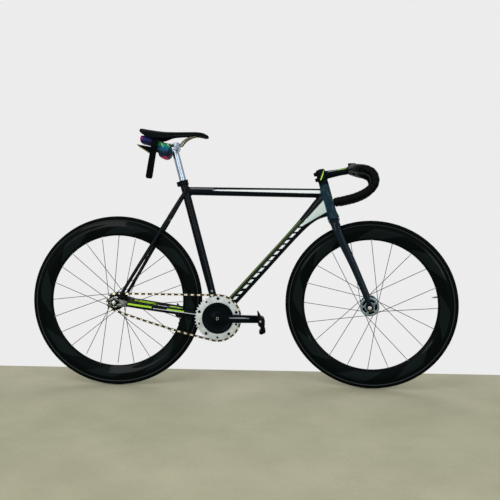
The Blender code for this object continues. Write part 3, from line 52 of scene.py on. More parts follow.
TOP_TUBE_SEAT_HEIGHT, TOP_TUBE_HEAD_HEIGHT = 0.513, 0.104
TOP_TUBE_DEPTH_REAR, TOP_TUBE_DEPTH_FRONT, TOP_TUBE_WIDTH = 0.0325, 0.0365, 0.0330
DOWN_TUBE_DEPTH, DOWN_TUBE_WIDTH, DOWN_TUBE_HEAD_HEIGHT = 0.0405, 0.0400, 0.090
GUSSET_DEPTH = 0.102
BRACKET_RADIUS, BRACKET_WIDTH, BRACKET_BORE = 0.0215, 0.068, 0.0175
REAR_SPACING, FRONT_SPACING = 0.120, 0.100
CHAINSTAY_DEPTH, CHAINSTAY_WIDTH, CHAINSTAY_MID_Y = 0.0260, 0.0150, 0.0275
SEATSTAY_DEPTH, SEATSTAY_WIDTH, SEATSTAY_TOP_DROP = 0.0150, 0.0130, 0.034
BRIDGE_RADIUS = 0.0055
DROPOUT_THICKNESS, DROPOUT_REACH, DROPOUT_HEIGHT = 0.007, 0.05, 0.015
COLLAR_HEIGHT, COLLAR_WALL, COLLAR_LIP = 0.0135, 0.0030, 0.0080
RIM_RADIUS, RIM_DEPTH, RIM_WIDTH, RIM_BULGE = 0.3155, 0.0580, 0.0230, 0.0260
TYRE_WIDTH, TYRE_SEAT = 0.0235, 0.0020
FRONT_SPOKES, REAR_SPOKES, SPOKE_RADIUS, SPOKE_LIFT = 20, 24, 0.0009, 0.0013
SPOKE_SWELL, ELBOW_SWELL = 1.35, 1.2
FRONT_FLANGE_RADIUS, REAR_FLANGE_RADIUS = 0.0368, 0.0325
FLANGE_Y, FLANGE_THICKNESS = 0.0335, 0.0044
HUB_BODY_RADIUS, HUB_END_RADIUS = 0.0150, 0.0090
VALVE_ANGLES = {"front": 80.0, "rear": 97.0}
FRONT_AXLE_RADIUS, REAR_AXLE_RADIUS, AXLE_OVERHANG = 0.0045, 0.0050, 0.0110
NUT_RADIUS, NUT_THICKNESS = 0.0085, 0.0080
PITCH, RING_TEETH, COG_TEETH, CHAIN_LINE = 0.0127, 44, 16, 0.0430
TOOTH_THICKNESS, ROLLER_RADIUS, CHAIN_INNER_WIDTH = 0.0027, 0.00385, 0.0033
PLATE_THICKNESS, PLATE_HALF_HEIGHT, CHAIN_PIN_RADIUS = 0.0011, 0.0042, 0.0018
RING_BORE, RING_WINDOWS, WINDOW_RADIUS = 0.0450, 10, 0.0755
CARRIER_RADIUS = 0.0168
CRANK_LENGTH, CRANK_DISC_RADIUS, CRANK_DISC_THICKNESS = 0.165, 0.0610, 0.0050
CRANK_ARM_THICKNESS, CRANK_WIDTH, CRANK_EYE_RADIUS = 0.0125, 0.0330, 0.0140
PEDAL_WIDTH, PEDAL_SPINDLE_RADIUS, CRANK_SPINDLE_RADIUS = 0.0560, 0.0040, 0.0110
STEERER_RADIUS, CROWN_HEIGHT = 0.0143, 0.0240
COVER_HEIGHT, STEM_HEIGHT, STEM_LENGTH, STEM_DROP_ANGLE = 0.016, 0.040, 0.120, 6.0
STEM_WALL, STEM_WIDTH, TOP_CAP_THICKNESS = 0.0050, 0.0400, 0.0050
BAR_CLAMP_RADIUS, BAR_RADIUS, BAR_HALF_WIDTH = 0.0159, 0.0119, 0.200
BAR_REACH, BAR_DROP, BAR_STEPS = 0.0825, 0.1270, 12
TAPE_THICKNESS, TAPE_RIDGE, TAPE_PITCH, TAPE_START = 0.0042, 0.0006, 0.0165, 2
POST_RADIUS, POST_EXPOSED, POST_HEAD_RADIUS, CLAMP_OFFSET = 0.0136, 0.1415, 0.0125, 0.0107
CLAMP_BOLT_RADIUS, RAIL_RADIUS, RAIL_SPREAD = 0.0035, 0.0035, 0.0220
SADDLE_LENGTH, SADDLE_WIDTH, SADDLE_HEIGHT, SADDLE_SETBACK = 0.274, 0.131, 0.0611, -0.0028
CUSHION_THICKNESS, SHELL_THICKNESS, SADDLE_TUCK = 0.0055, 0.0024, 0.0025
BAG_START, BAG_LENGTH, BAG_WIDTH, BAG_DEPTH = -0.1338, 0.1225, 0.0960, 0.1000
STRAP_WIDTH, STRAP_THICKNESS, STRAP_LOOP_HEIGHT = 0.0240, 0.0016, 0.0620
STRAP_MIDDLE, STRAP_TAIL, STRAP_PLACE, STRAP_LEAN = 0.0160, 0.1440, 0.530, 8.7
FLOOR_EDGE, FLOOR_HEIGHT = 0.27, -0.0012
HEAD_TUBE_BORE, POST_BORE_DEPTH = 0.0162, 0.230
# Voxel sizes of the welded skins, and how many sides a wheel's hoops have
FRAME_VOXEL, FORK_VOXEL, STEM_VOXEL, POST_VOXEL, HOOP_SIDES = 0.0016, 0.0012, 0.0009, 0.0008, 240
LEFT, RIGHT = 1, -1
SIDES = ((LEFT, "left"), (RIGHT, "right"))

# The photo's camera: focal length in the photo's own pixels, place, and turns in degrees
PHOTO_WIDTH, FOCAL_LENGTH, SENSOR_WIDTH = 500.0, 547.95, 36.0
CAMERA_SPOT, CAMERA_TURNS = (0.5296, -2.1667, 0.600), ((0.275, "Z"), (-1.485, "X"), (-1.015, "Y"))

# Looks: scales of paint flakes and carbon twill per metre, wedges round a rim, and the strength
# of the surroundings as a light and as the camera sees them
FLAKES, TWILL, RIM_WEDGES = 5200.0, 320.0, 8.0
LIT_STRENGTH, SEEN_STRENGTH = 0.55, 0.84

# Places worked out from the sizes
HEAD_TILT, SEAT_TILT = math.radians(90.0 - HEAD_ANGLE), math.radians(90.0 - SEAT_ANGLE)
REAR_AXLE = Vector((0.0, 0.0, WHEEL_RADIUS))
BRACKET = Vector((math.sqrt(CHAINSTAY ** 2 - BRACKET_DROP ** 2), 0.0, WHEEL_RADIUS - BRACKET_DROP))
FRONT_AXLE = Vector((WHEELBASE, 0.0, WHEEL_RADIUS))
HEAD_UP = Vector((-math.sin(HEAD_TILT), 0.0, math.cos(HEAD_TILT)))
HEAD_FORWARD = Vector((math.cos(HEAD_TILT), 0.0, math.sin(HEAD_TILT)))
CROWN = FRONT_AXLE - FORK_RAKE * HEAD_FORWARD + FORK_LENGTH * HEAD_UP
SEAT_UP = Vector((-math.sin(SEAT_TILT), 0.0, math.cos(SEAT_TILT)))
SEAT_TOP = BRACKET + SEAT_TUBE_LENGTH * SEAT_UP
HEAD_TUBE_TOP = HEADSET_GAP + HEAD_TUBE_LENGTH
STEM_BASE = HEAD_TUBE_TOP + GAP + COVER_HEIGHT + GAP
STEM_MIDDLE, STEM_TOP = STEM_BASE + STEM_HEIGHT / 2, STEM_BASE + STEM_HEIGHT
DROPOUT_INNER = REAR_SPACING / 2
CRANK_ARM_INNER = CHAIN_LINE + TOOTH_THICKNESS / 2 + GAP + CRANK_DISC_THICKNESS
CRANK_ARM_OUTER = CRANK_ARM_INNER + CRANK_ARM_THICKNESS
STEM_DROP = math.radians(STEM_DROP_ANGLE)
BAR_CENTRE = Vector((STEM_LENGTH * math.cos(STEM_DROP), 0.0,
                     STEM_MIDDLE - STEM_LENGTH * math.sin(STEM_DROP)))


def turn(angle, axis):
    return Matrix.Rotation(angle, 4, axis)


def place(x=0.0, y=0.0, z=0.0):
    return Matrix.Translation((x, y, z))


def facing(direction, spot):
    """A matrix that puts local Z along a direction at a spot."""
    tilt = Vector((0.0, 0.0, 1.0)).rotation_difference(direction)
    return Matrix.Translation(spot) @ tilt.to_matrix().to_4x4()


ALONG_Y = turn(math.radians(-90.0), "X")
OUTWARD = {LEFT: ALONG_Y, RIGHT: ALONG_Y @ turn(math.pi, "X")}
HEAD_AXES = Matrix.Translation(CROWN) @ turn(-HEAD_TILT, "Y")
STEERING = HEAD_AXES @ turn(math.radians(-STEER_AT_REST), "Z")
LEVEL = turn(HEAD_TILT, "Y")
FRONT_HUB = STEERING @ place(FORK_RAKE, 0.0, -FORK_LENGTH) @ LEVEL
BAR_AXES = STEERING @ Matrix.Translation(BAR_CENTRE) @ LEVEL
REAR_HUB = Matrix.Translation(REAR_AXLE)
CRANKS = Matrix.Translation(BRACKET)
SEAT_AXES = Matrix.Translation(BRACKET) @ turn(-SEAT_TILT, "Y")
POST_AXES = Matrix.Translation(SEAT_TOP) @ turn(-SEAT_TILT, "Y")
TO_SADDLE = place(z=POST_EXPOSED) @ turn(SEAT_TILT, "Y")
SADDLE_AXES = POST_AXES @ TO_SADDLE


# Forms
def around(count):
    """Angles of a ring's points, from half a step on."""
    return [2 * math.pi * (i + 0.5) / count for i in range(count)]


def squared(angle, power):
    """Cosine and sine of an angle, drawn out towards the corners by a power under 1."""
    return [math.copysign(abs(v) ** power, v) for v in (math.cos(angle), math.sin(angle))]


def span(side, near, far):
    """The low and the high Y of something between two distances on one side."""
    return sorted((side * near, side * far))


def skin(form, rings, looped=False):
    """Joins rings of points by strips of quads; a run that isn't looped gets a cap at each end."""
    made = [[form.verts.new(point) for point in ring] for ring in rings]
    for first, second in zip(made, made[1:] + (made[:1] if looped else [])):
        for i in range(len(first)):
            j = (i + 1) % len(first)
            form.faces.new((first[i], first[j], second[j], second[i]))
    if not looped:
        form.faces.new(made[0][::-1])
        form.faces.new(made[-1])
    return form


def moved(form, matrix):
    form.transform(matrix)
    return form


def turned(profile, sides, looped=False, matrix=None):
    """A solid of revolution about local Z from (radius, height) points; looped means a tube."""
    rings = [[Vector((r * math.cos(a), r * math.sin(a), h)) for a in around(sides)]
             for r, h in profile]
    form = skin(bmesh.new(), rings, looped)
    return moved(form, matrix) if matrix else form


def washer(inner, outer, bottom, top, sides, matrix=None):
    profile = [(inner, bottom), (outer, bottom), (outer, top), (inner, top)]
    return turned(profile, sides, True, matrix)


def rod(radius, bottom, top, sides, matrix=None):
    return turned([(radius, bottom), (radius, top)], sides, False, matrix)


def prism(form, outline, low, high, matrix=None):
    """Extrudes an outline of (x, z) points from y = low to y = high."""
    shift = matrix or Matrix()
    return skin(form, [[shift @ Vector((x, y, z)) for x, z in outline] for y in (low, high)])


def block(outline, low, high):
    return prism(bmesh.new(), outline, low, high)


def plate(outline, holes, low, high):
    """A flat plate in the XZ plane with holes right through it."""
    form = bmesh.new()
    for loop in [outline] + holes:
        points = [form.verts.new((x, low, z)) for x, z in loop]
        for i, point in enumerate(points):
            form.edges.new((point, points[(i + 1) % len(points)]))
    bmesh.ops.triangle_fill(form, use_beauty=True, edges=form.edges[:])
    face_up = bmesh.ops.extrude_face_region(form, geom=form.faces[:])
    lifted = [item for item in face_up["geom"] if isinstance(item, bmesh.types.BMVert)]
    bmesh.ops.translate(form, vec=(0.0, high - low, 0.0), verts=lifted)
    return form


def arc(radius, start, stop, count, x=0.0, z=0.0):
    """Points on an arc in the XZ plane, angles in degrees from +X towards +Z."""
    points = []
    for i in range(count):
        a = math.radians(start + (stop - start) * i / (count - 1))
        points.append((x + radius * math.cos(a), z + radius * math.sin(a)))
    return points


def circle(radius, count, x=0.0, z=0.0):
    return arc(radius, 0.0, 360.0 - 360.0 / count, count, x, z)


def oval(centre, along, half_width, half_depth, sides, power=2.0):
    """A ring square to a direction in the XZ plane: an ellipse at power 2, squarer above it."""
    along = along.normalized()
    side = (Vector((0.0, 1.0, 0.0)) - along.y * along).normalized()
    up = side.cross(along) * -1.0
    ring = []
    for angle in around(sides):
        c, s = squared(angle, 2 / power)
        ring.append(centre + side * (c * half_width) + up * (s * half_depth))
    return ring


def spline(values, steps):
    """Catmull-Rom rows through a list of tuples or vectors, in steps for each stretch."""
    rows = [np.array(v, float).ravel() for v in values]
    padded = [2 * rows[0] - rows[1]] + rows + [2 * rows[-1] - rows[-2]]
    made = []
    for i in range(1, len(padded) - 2):
        a, b, c, d = padded[i - 1:i + 3]
        for k in range(steps):
            t = k / steps
            made.append(0.5 * (2 * b + (c - a) * t + (2 * a - 5 * b + 4 * c - d) * t * t
                               + (3 * b - a - 3 * c + d) * t ** 3))
    return [tuple(row) for row in made + [rows[-1]]]


def tube(stations, sides=40, power=2.0, steps=8):
    """A smooth solid through (centre, width, depth) stations, each ring square to the run there."""
    rows = np.array(spline([(*centre, width, depth) for centre, width, depth in stations], steps))
    rings = []
    for i, row in enumerate(rows):
        before, after = rows[max(i - 1, 0)], rows[min(i + 1, len(rows) - 1)]
        along = Vector(after[:3] - before[:3])
        rings.append(oval(Vector(row[:3]), along, row[3] / 2, row[4] / 2, sides, power))
    return skin(bmesh.new(), rings)


def headings(path):
    last = len(path) - 1
    return [(path[min(i + 1, last)] - path[max(i - 1, 0)]).normalized() for i in range(last + 1)]


def swept(path, radii, sides, bump=None):
    """Round rings along a path, carried without twist; bump(i, angle) adds to the radius."""
    rings, directions = [], headings(path)
    across, before = directions[0].orthogonal().normalized(), directions[0]
    for i, (centre, along) in enumerate(zip(path, directions)):
        across = before.rotation_difference(along) @ across
        other = along.cross(across)
        ring = []
        for a in around(sides):
            radius = radii[i] + (bump(i, a) if bump else 0.0)
            ring.append(centre + float(radius) * (math.cos(a) * across + math.sin(a) * other))
        rings.append(ring)
        before = along
    return rings


def wire(path, radius, sides):
    return skin(bmesh.new(), swept(path, [radius] * len(path), sides))


def merged(*parts):
    """One form from several forms or meshes, which are used up."""
    whole = bmesh.new()
    for part in parts:
        mesh = part
        if isinstance(part, bmesh.types.BMesh):
            mesh = bpy.data.meshes.new("part")
            part.to_mesh(mesh)
            part.free()
        whole.from_mesh(mesh)
        bpy.data.meshes.remove(mesh)
    return whole


def bevelled(form, width, segments=2, angle=28.0):
    """Rounds every edge that turns by more than an angle."""
    bmesh.ops.recalc_face_normals(form, faces=form.faces)
    sharp = [e for e in form.edges
             if len(e.link_faces) == 2 and e.calc_face_angle() > math.radians(angle)]
    bmesh.ops.bevel(form, geom=sharp, offset=width, offset_type="OFFSET", segments=segments,
                    profile=0.5, affect="EDGES", clamp_overlap=True)
    return form


def close_sheet(form, over, under):
    """Faces over two grids of vertices and round their edges."""
    for grid in (over, under):
        for near, far in zip(grid, grid[1:]):
            for k in range(len(near) - 1):
                form.faces.new((near[k], near[k + 1], far[k + 1], far[k]))
    for k in (0, -1):
        for j in range(len(over) - 1):
            form.faces.new((over[j][k], over[j + 1][k], under[j + 1][k], under[j][k]))
    for j in (0, -1):
        for k in range(len(over[j]) - 1):
            form.faces.new((over[j][k], over[j][k + 1], under[j][k + 1], under[j][k]))


def to_mesh(form, name="form"):
    bmesh.ops.recalc_face_normals(form, faces=form.faces)
    mesh = bpy.data.meshes.new(name)
    form.to_mesh(mesh)
    form.free()
    return mesh


def added(name, data):
    """A new object in the scene."""
    thing = bpy.data.objects.new(name, data)
    bpy.context.scene.collection.objects.link(thing)
    return thing


def remade(mesh, voxel=None, cutters=()):
    """The mesh after a voxel remesh, or after other forms are cut out of it."""
    thing = added("work", mesh)
    if voxel:
        step = thing.modifiers.new("remesh", "REMESH")
        step.mode, step.voxel_size = "VOXEL", voxel
    tools = [added("tool", to_mesh(cutter)) for cutter in cutters]
    for tool in tools:
        step = thing.modifiers.new("cut", "BOOLEAN")
        step.operation, step.solver, step.object = "DIFFERENCE", "MANIFOLD", tool
    graph = bpy.context.evaluated_depsgraph_get()
    graph.update()
    made = bpy.data.meshes.new_from_object(thing.evaluated_get(graph))
    for used in [thing] + tools:
        bpy.data.objects.remove(used)
    return made


def welded(form, voxel, smoothing, joints, cutters=()):
    """One skin over overlapping solids, with fillets near the joints: (point, reach) pairs."""
    mesh = remade(to_mesh(form), voxel)
    points = np.zeros(len(mesh.vertices) * 3)
    mesh.vertices.foreach_get("co", points)
    points = points.reshape(-1, 3)
    weights = np.zeros(len(points))
    for centre, reach in joints:
        distance = np.linalg.norm(points - np.array(centre), axis=1)
        weights = np.maximum(weights, np.clip(1.6 * (1.0 - distance / reach), 0.0, 1.0))
    pairs = np.zeros(len(mesh.edges) * 2, int)
    mesh.edges.foreach_get("vertices", pairs)
    pairs = pairs.reshape(-1, 2)
    degree = np.bincount(pairs.ravel(), minlength=len(points))[:, None]
    rounds, most = smoothing
    for i in range(most):
        total = np.zeros_like(points)
        np.add.at(total, pairs[:, 0], points[pairs[:, 1]])
        np.add.at(total, pairs[:, 1], points[pairs[:, 0]])
        share = 0.5 if i < rounds else 0.5 * weights[:, None]
        points += share * (total / degree - points)
    mesh.vertices.foreach_set("co", points.ravel())
    mesh.update()
    return remade(mesh, cutters=cutters) if cutters else mesh


def piece(name, form, body, finish, replaces=(), matrix=None, angle=32.0):
    """An object from a form, on a body, in a material slot's finish, standing for CAD nodes."""
    mesh = form if isinstance(form, bpy.types.Mesh) else to_mesh(form, name)
    mesh.materials.clear()
    mesh.materials.append(finish)
    mesh.shade_smooth()
    mesh.set_sharp_from_angle(angle=math.radians(angle))
    made = added(name, mesh)
    if matrix is not None:
        made.matrix_world = matrix
    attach(made, body)
    if replaces:
        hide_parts(*replaces)
    return made


# Materials
class Field:
    """A socket of a finish's nodes, worked with like a number."""

    def __init__(self, finish, socket):
        self.finish, self.socket = finish, socket

    def ramp(self, low, high, start=0.0, stop=1.0):
        return self.finish.node("ShaderNodeMapRange", 0, {
            "Value": self, "From Min": low, "From Max": high, "To Min": start, "To Max": stop})

    def band(self, low, high, soft=0.0004):
        """1 between low and high, with soft edges."""
        return self.ramp(low - soft, low + soft) * self.ramp(high - soft, high + soft, 1.0, 0.0)

    def mix(self, first, second):
        """The first colour where the field is 0 and the second where it is 1."""
        return self.finish.node("ShaderNodeMix", 2, {0: self, 6: first, 7: second},
                                data_type="RGBA")


# Each of these adds a maths node and gives what comes out of it as another field
for method, sum_kind in (("__add__", "ADD"), ("__sub__", "SUBTRACT"), ("__mul__", "MULTIPLY"),
                         ("__truediv__", "DIVIDE"), ("__abs__", "ABSOLUTE"),
                         ("above", "GREATER_THAN"), ("floor", "FLOOR"), ("fract", "FRACT"),
                         ("sine", "SINE"), ("root", "SQRT"), ("larger", "MAXIMUM"),
                         ("angle", "ARCTAN2")):
    setattr(Field, method, lambda self, *others, kind=sum_kind: self.finish.node(
        "ShaderNodeMath", 0, dict(enumerate((self,) + others)), operation=kind))


class Finish:
    """A node material whose coordinates are the object's own, in metres."""

    def __init__(self, name, colour, roughness, metallic=0.0, **sockets):
        self.material = bpy.data.materials.new(name)
        self.material.use_nodes = True
        self.material.diffuse_color = (*colour, 1.0)
        self.tree = self.material.node_tree
        self.shader = self.tree.nodes["Principled BSDF"]
        sockets.update(Base_Color=colour, Roughness=roughness, Metallic=metallic)
        for key, value in sockets.items():
            self.put(key.replace("_", " "), value)
        self.coords = self.node("ShaderNodeTexCoord", "Object", {})

    def feed(self, socket, value):
        """Links a field to a socket, or sets a number there; a colour gets its alpha here."""
        if isinstance(value, Field):
            self.tree.links.new(value.socket, socket)
        else:
            socket.default_value = (*value, 1.0) if socket.type == "RGBA" else value

    def put(self, name, value):
        self.feed(self.shader.inputs[name], value)

    def node(self, kind, output, inputs, **settings):
        made = self.tree.nodes.new(kind)
        for key, value in settings.items():
            setattr(made, key, value)
        for key, value in inputs.items():
            self.feed(made.inputs[key], value)
        return Field(self, made.outputs[output])

    def dot(self, origin, direction):
        """How far a point lies from an origin along a direction."""
        shifted = self.node("ShaderNodeVectorMath", 0, {0: self.coords, 1: tuple(origin)},
                            operation="SUBTRACT")
        return self.node("ShaderNodeVectorMath", "Value", {0: shifted, 1: tuple(direction)},
                         operation="DOT_PRODUCT")

    def axes(self, names):
        return [self.dot((0.0, 0.0, 0.0), [float(name == axis) for axis in "XYZ"])
                for name in names]

    def noise(self, scale, detail=3.0, roughness=0.5, vector=None):
        return self.node("ShaderNodeTexNoise", "Fac", {
            "Vector": vector or self.coords, "Scale": scale, "Detail": detail,
            "Roughness": roughness})

    def cells(self, scale, feature, randomness=1.0):
        return self.node("ShaderNodeTexVoronoi", "Distance", {
            "Vector": self.coords, "Scale": scale, "Randomness": randomness}, feature=feature)

    def uneven_gloss(self, scale, detail, low, high):
        self.put("Roughness", self.noise(scale, detail).ramp(0.3, 0.7, low, high))

    def bumped(self, height, distance, strength):
        """Adds the relief and gives the finished material."""
        self.put("Normal", self.node("ShaderNodeBump", 0, {
            "Height": height, "Distance": distance, "Strength": strength}))
        return self.material


# Lines along the tubes that the paint's flashes, its painted highlight and its painted reflection
# follow, and their colours
DOWN_TOP = CROWN + DOWN_TUBE_HEAD_HEIGHT * HEAD_UP
TOP_REAR = BRACKET + TOP_TUBE_SEAT_HEIGHT * SEAT_UP
TOP_FRONT = CROWN + TOP_TUBE_HEAD_HEIGHT * HEAD_UP
STAY_END = REAR_AXLE + Vector((DROPOUT_REACH - 0.004, 0.0, -0.0058))
DOWN_ALONG = (DOWN_TOP - BRACKET).normalized()
TOP_ALONG = (TOP_FRONT - TOP_REAR).normalized()
STAY_ALONG = (BRACKET - STAY_END).normalized()
DOWN_UP, TOP_UP, STAY_UP = (Vector((-run.z, 0.0, run.x))
                            for run in (DOWN_ALONG, TOP_ALONG, STAY_ALONG))
LIME, SILVER = (0.30, 0.55, 0.04), (0.68, 0.72, 0.74)
# Dark lime of the down tube's rail, and pale green of the painted reflection near the head tube
DARK_LIME, REFLECTION_GREEN = (0.10, 0.18, 0.03), (0.50, 0.60, 0.58)


def slanted_blocks(along, across, pitch, slant):
    """A row of leaning bars of uneven length, as a plain speed pattern."""
    step = (along + across * slant) / pitch
    share = step.fract()
    edge = ((step.floor() * 7.3).sine() * 3.7).fract().ramp(0.0, 1.0, 0.58, 0.90)
    return share.ramp(0.10, 0.13) * (share - edge).ramp(-0.015, 0.015, 1.0, 0.0)


def lacquered(f):
    f.uneven_gloss(60.0, 4.0, 0.24, 0.32)
    return f.bumped(f.noise(900.0, 2.0), 0.00004, 0.35)


def frame_finish():
    """Blue-black paint with silver and lime flashes, a painted highlight along the top tube and a
    pale green painted reflection near the head tube.
    """
    f = Finish("graphite_paint", (0.003, 0.006, 0.008), 0.24, Coat_Weight=0.10,
               Coat_Roughness=0.03, Specular_IOR_Level=0.015)
    flake = f.noise(FLAKES, 1.0).ramp(0.35, 0.75)
    graphite = flake.mix((0.0006, 0.0018, 0.0028), (0.0022, 0.0050, 0.0080))
    teal = flake.mix((0.002, 0.010, 0.016), (0.012, 0.045, 0.066))
    forward = f.dot(CROWN, HEAD_FORWARD)
    graphite = forward.ramp(-0.030, -0.018).mix(graphite, teal)
    side = abs(f.axes("Y")[0])
    flank = side.ramp(0.006, 0.008)

    down, across = f.dot(BRACKET, DOWN_ALONG), f.dot(BRACKET, DOWN_UP)
    row = (down.band(0.085, 0.520) * across.band(-0.0044, 0.0042, 0.0003) * flank
           * slanted_blocks(down, across, 0.030, 1.1))
    rail = down.band(0.060, 0.500) * across.band(0.0146, 0.0178) * flank
    # A pale green fade on the down tube's flank near the head tube: a painted reflection
    low_edge = (down - 0.485) * -0.32 + -0.003
    painted_gusset_reflection = (down.ramp(0.480, 0.500) * across.band(-0.080, 0.0225) * flank
             * across.ramp(0.0015, 0.0045, 1.0, 0.0) * forward.ramp(-0.023, -0.020, 1.0, 0.0)
             * (across - low_edge).ramp(-0.0005, 0.0015))
    patch = down.band(0.046, 0.066) * across.band(-0.0050, 0.0030) * flank

    top, across = f.dot(TOP_REAR, TOP_ALONG), f.dot(TOP_REAR, TOP_UP)
    # A white band along the top tube's flank, wider towards the front: a painted highlight
    thick = top.ramp(0.115, 0.480, 0.0024, 0.0060)
    line = (top.band(0.018, 0.528, 0.003) * across.band(-0.019, 0.019) * top.ramp(0.105, 0.125)
            * flank * (abs(across - 0.0040) - thick).ramp(-0.0008, 0.0006, 1.0, 0.0))
    faint = top.band(0.020, 0.112) * across.band(0.0076, 0.0094) * flank

    stay, across = f.dot(STAY_END, STAY_ALONG), f.dot(STAY_END, STAY_UP)
    outside = side.ramp(0.018, 0.022)
    stripe = stay.band(0.006, 0.098) * across.band(-0.0010, 0.0060) * outside
    stripe = stripe.larger(stay.band(0.156, 0.222) * across.band(0.0014, 0.0060) * outside)
    thread = stay.band(0.104, 0.300) * across.band(-0.0012, 0.0006) * outside

    silver = row.larger(line).larger(thread.larger(patch)).larger(faint * 0.35)
    colour = painted_gusset_reflection.mix(silver.mix(graphite, SILVER), REFLECTION_GREEN)
    f.put("Base Color", stripe.mix(rail.mix(colour, DARK_LIME), LIME))
    return lacquered(f)


def fork_finish():
    """The same paint, a little bluer and without flashes."""
    f = Finish("blue_black_paint", (0.003, 0.008, 0.012), 0.26, Coat_Weight=0.12,
               Coat_Roughness=0.03, Specular_IOR_Level=0.015)
    flake = f.noise(FLAKES, 1.0).ramp(0.35, 0.75)
    f.put("Base Color", flake.mix((0.0012, 0.0045, 0.0075), (0.006, 0.016, 0.024)))
    return lacquered(f)


def carbon_finish():
    """Clear-coated twill with a ring of matt tonal wedges round the rim."""
    f = Finish("carbon", (0.002, 0.004, 0.004), 0.30, Coat_Weight=0.05, Coat_Roughness=0.04,
               Specular_IOR_Level=0.01)
    x, z = f.axes("XZ")
    radius = (x * x + z * z).root()
    warp, weft = (x + z) * TWILL, (x - z) * TWILL
    twill = ((warp.floor() + weft.floor()) * 0.25).fract().above(0.49)
    share = ((z.angle(x) / (2 * math.pi) + radius * 1.1) * RIM_WEDGES).fract()
    wedge = share.band(0.12, 0.62, 0.004) * radius.band(0.266, 0.303, 0.0005)
    weave = twill.mix((0.0006, 0.0016, 0.0016), (0.0016, 0.0032, 0.0032))
    f.put("Base Color", wedge.mix(weave, (0.0045, 0.0080, 0.0080)))
    f.put("Roughness", wedge.ramp(0.0, 1.0, 0.24, 0.5))
    waves = [(yarn.fract() * math.pi).sine() * 0.5 for yarn in (warp, weft)]
    return f.bumped(waves[0] + waves[1], 0.00005, 0.15)


def tyre_finish():
    """Slick tread with fine file marks, and a thin pale line low on each wall."""
    f = Finish("tyre_rubber", (0.003, 0.004, 0.004), 0.72, Specular_IOR_Level=0.02)
    x, z, y = f.axes("XZY")
    radius, angle, side = (x * x + z * z).root(), z.angle(x), abs(y)
    herring = (angle * 460.0 + side * 2400.0).sine()
    shoulder = side.ramp(0.0035, 0.0045) * radius.ramp(0.3265, 0.3275)
    dusty = f.noise(30.0, 5.0).ramp(0.35, 0.7)
    base = dusty.mix((0.0008, 0.0016, 0.0016), (0.0025, 0.0035, 0.0035))
    f.put("Base Color", (radius.band(0.3172, 0.3190) * 0.7).mix(base, (0.055, 0.068, 0.068)))
    f.uneven_gloss(200.0, 3.0, 0.62, 0.8)
    return f.bumped(herring * shoulder + (angle * 620.0).sine() * 0.15, 0.00022, 0.6)


def metal_finish(name, colour, roughness, spread, scratch=900.0, metallic=1.0, specular=0.5,
                 shade=0.80):
    """Metal with fine scratches, smudges and slightly uneven polish."""
    f = Finish(name, colour, roughness, metallic, Specular_IOR_Level=specular)
    smudge = f.noise(42.0, 5.0, 0.6)
    f.put("Base Color", smudge.ramp(0.35, 0.75).mix(colour, [shade * c for c in colour]))
    f.put("Roughness", smudge.ramp(0.3, 0.7, roughness - spread, roughness + spread))
    stretched = f.node("ShaderNodeMapping", 0, {"Vector": f.coords, "Scale": (0.15, 1.0, 1.0)})
    return f.bumped(f.noise(scratch, 3.0, 0.6, stretched), 0.00003, 0.3)


def chain_finish():
    """Oiled steel: brassy outer plates, much darker between them, with patches of grease."""
    f = Finish("chain_steel", (0.40, 0.35, 0.24), 0.34, 1.0)
    outer = abs(f.axes("Y")[0]).ramp(0.0027, 0.0029)
    grease = f.noise(420.0, 4.0, 0.6).ramp(0.42, 0.62)
    plates = outer.mix((0.012, 0.011, 0.010), (0.060, 0.052, 0.038))
    f.put("Base Color", (grease * 0.30).mix(plates, (0.05, 0.042, 0.035)))
    f.put("Roughness", grease.ramp(0.0, 1.0, 0.26, 0.5))
    return f.bumped(f.noise(1500.0), 0.00004, 0.4)


def tape_finish():
    """Supple cork-backed tape: faint pores and a satin sheen."""
    f = Finish("bar_tape", (0.003, 0.004, 0.004), 0.36, Specular_IOR_Level=0.035)
    hole = f.cells(210.0, "F1", 0.25).ramp(0.14, 0.2)
    f.put("Base Color", hole.mix((0.0004, 0.0006, 0.0006), (0.0010, 0.0016, 0.0018)))
    f.uneven_gloss(90.0, 4.0, 0.34, 0.5)
    return f.bumped(hole * 0.8 + f.cells(520.0, "DISTANCE_TO_EDGE") * 0.5, 0.00015, 0.5)


def cover_finish():
    """Smooth microfibre with a fine grain."""
    f = Finish("saddle_cover", (0.006, 0.006, 0.006), 0.5, Specular_IOR_Level=0.03)
    worn = f.noise(28.0, 4.0).ramp(0.4, 0.7)
    f.put("Base Color", worn.mix((0.0012, 0.0022, 0.0026), (0.0030, 0.0045, 0.0050)))
    f.put("Roughness", worn.ramp(0.0, 1.0, 0.54, 0.42))
    return f.bumped(f.cells(950.0, "DISTANCE_TO_EDGE"), 0.0002, 0.5)


def moulding_finish():
    """Satin black plastic."""
    f = Finish("black_moulding", (0.003, 0.004, 0.004), 0.45, Specular_IOR_Level=0.03)
    f.put("Base Color", f.noise(120.0, 4.0).ramp(0.4, 0.7).mix((0.001, 0.002, 0.002),
                                                               (0.003, 0.004, 0.004)))
    f.uneven_gloss(60.0, 3.0, 0.38, 0.52)
    return f.bumped(f.noise(2600.0, 2.0), 0.00006, 0.4)


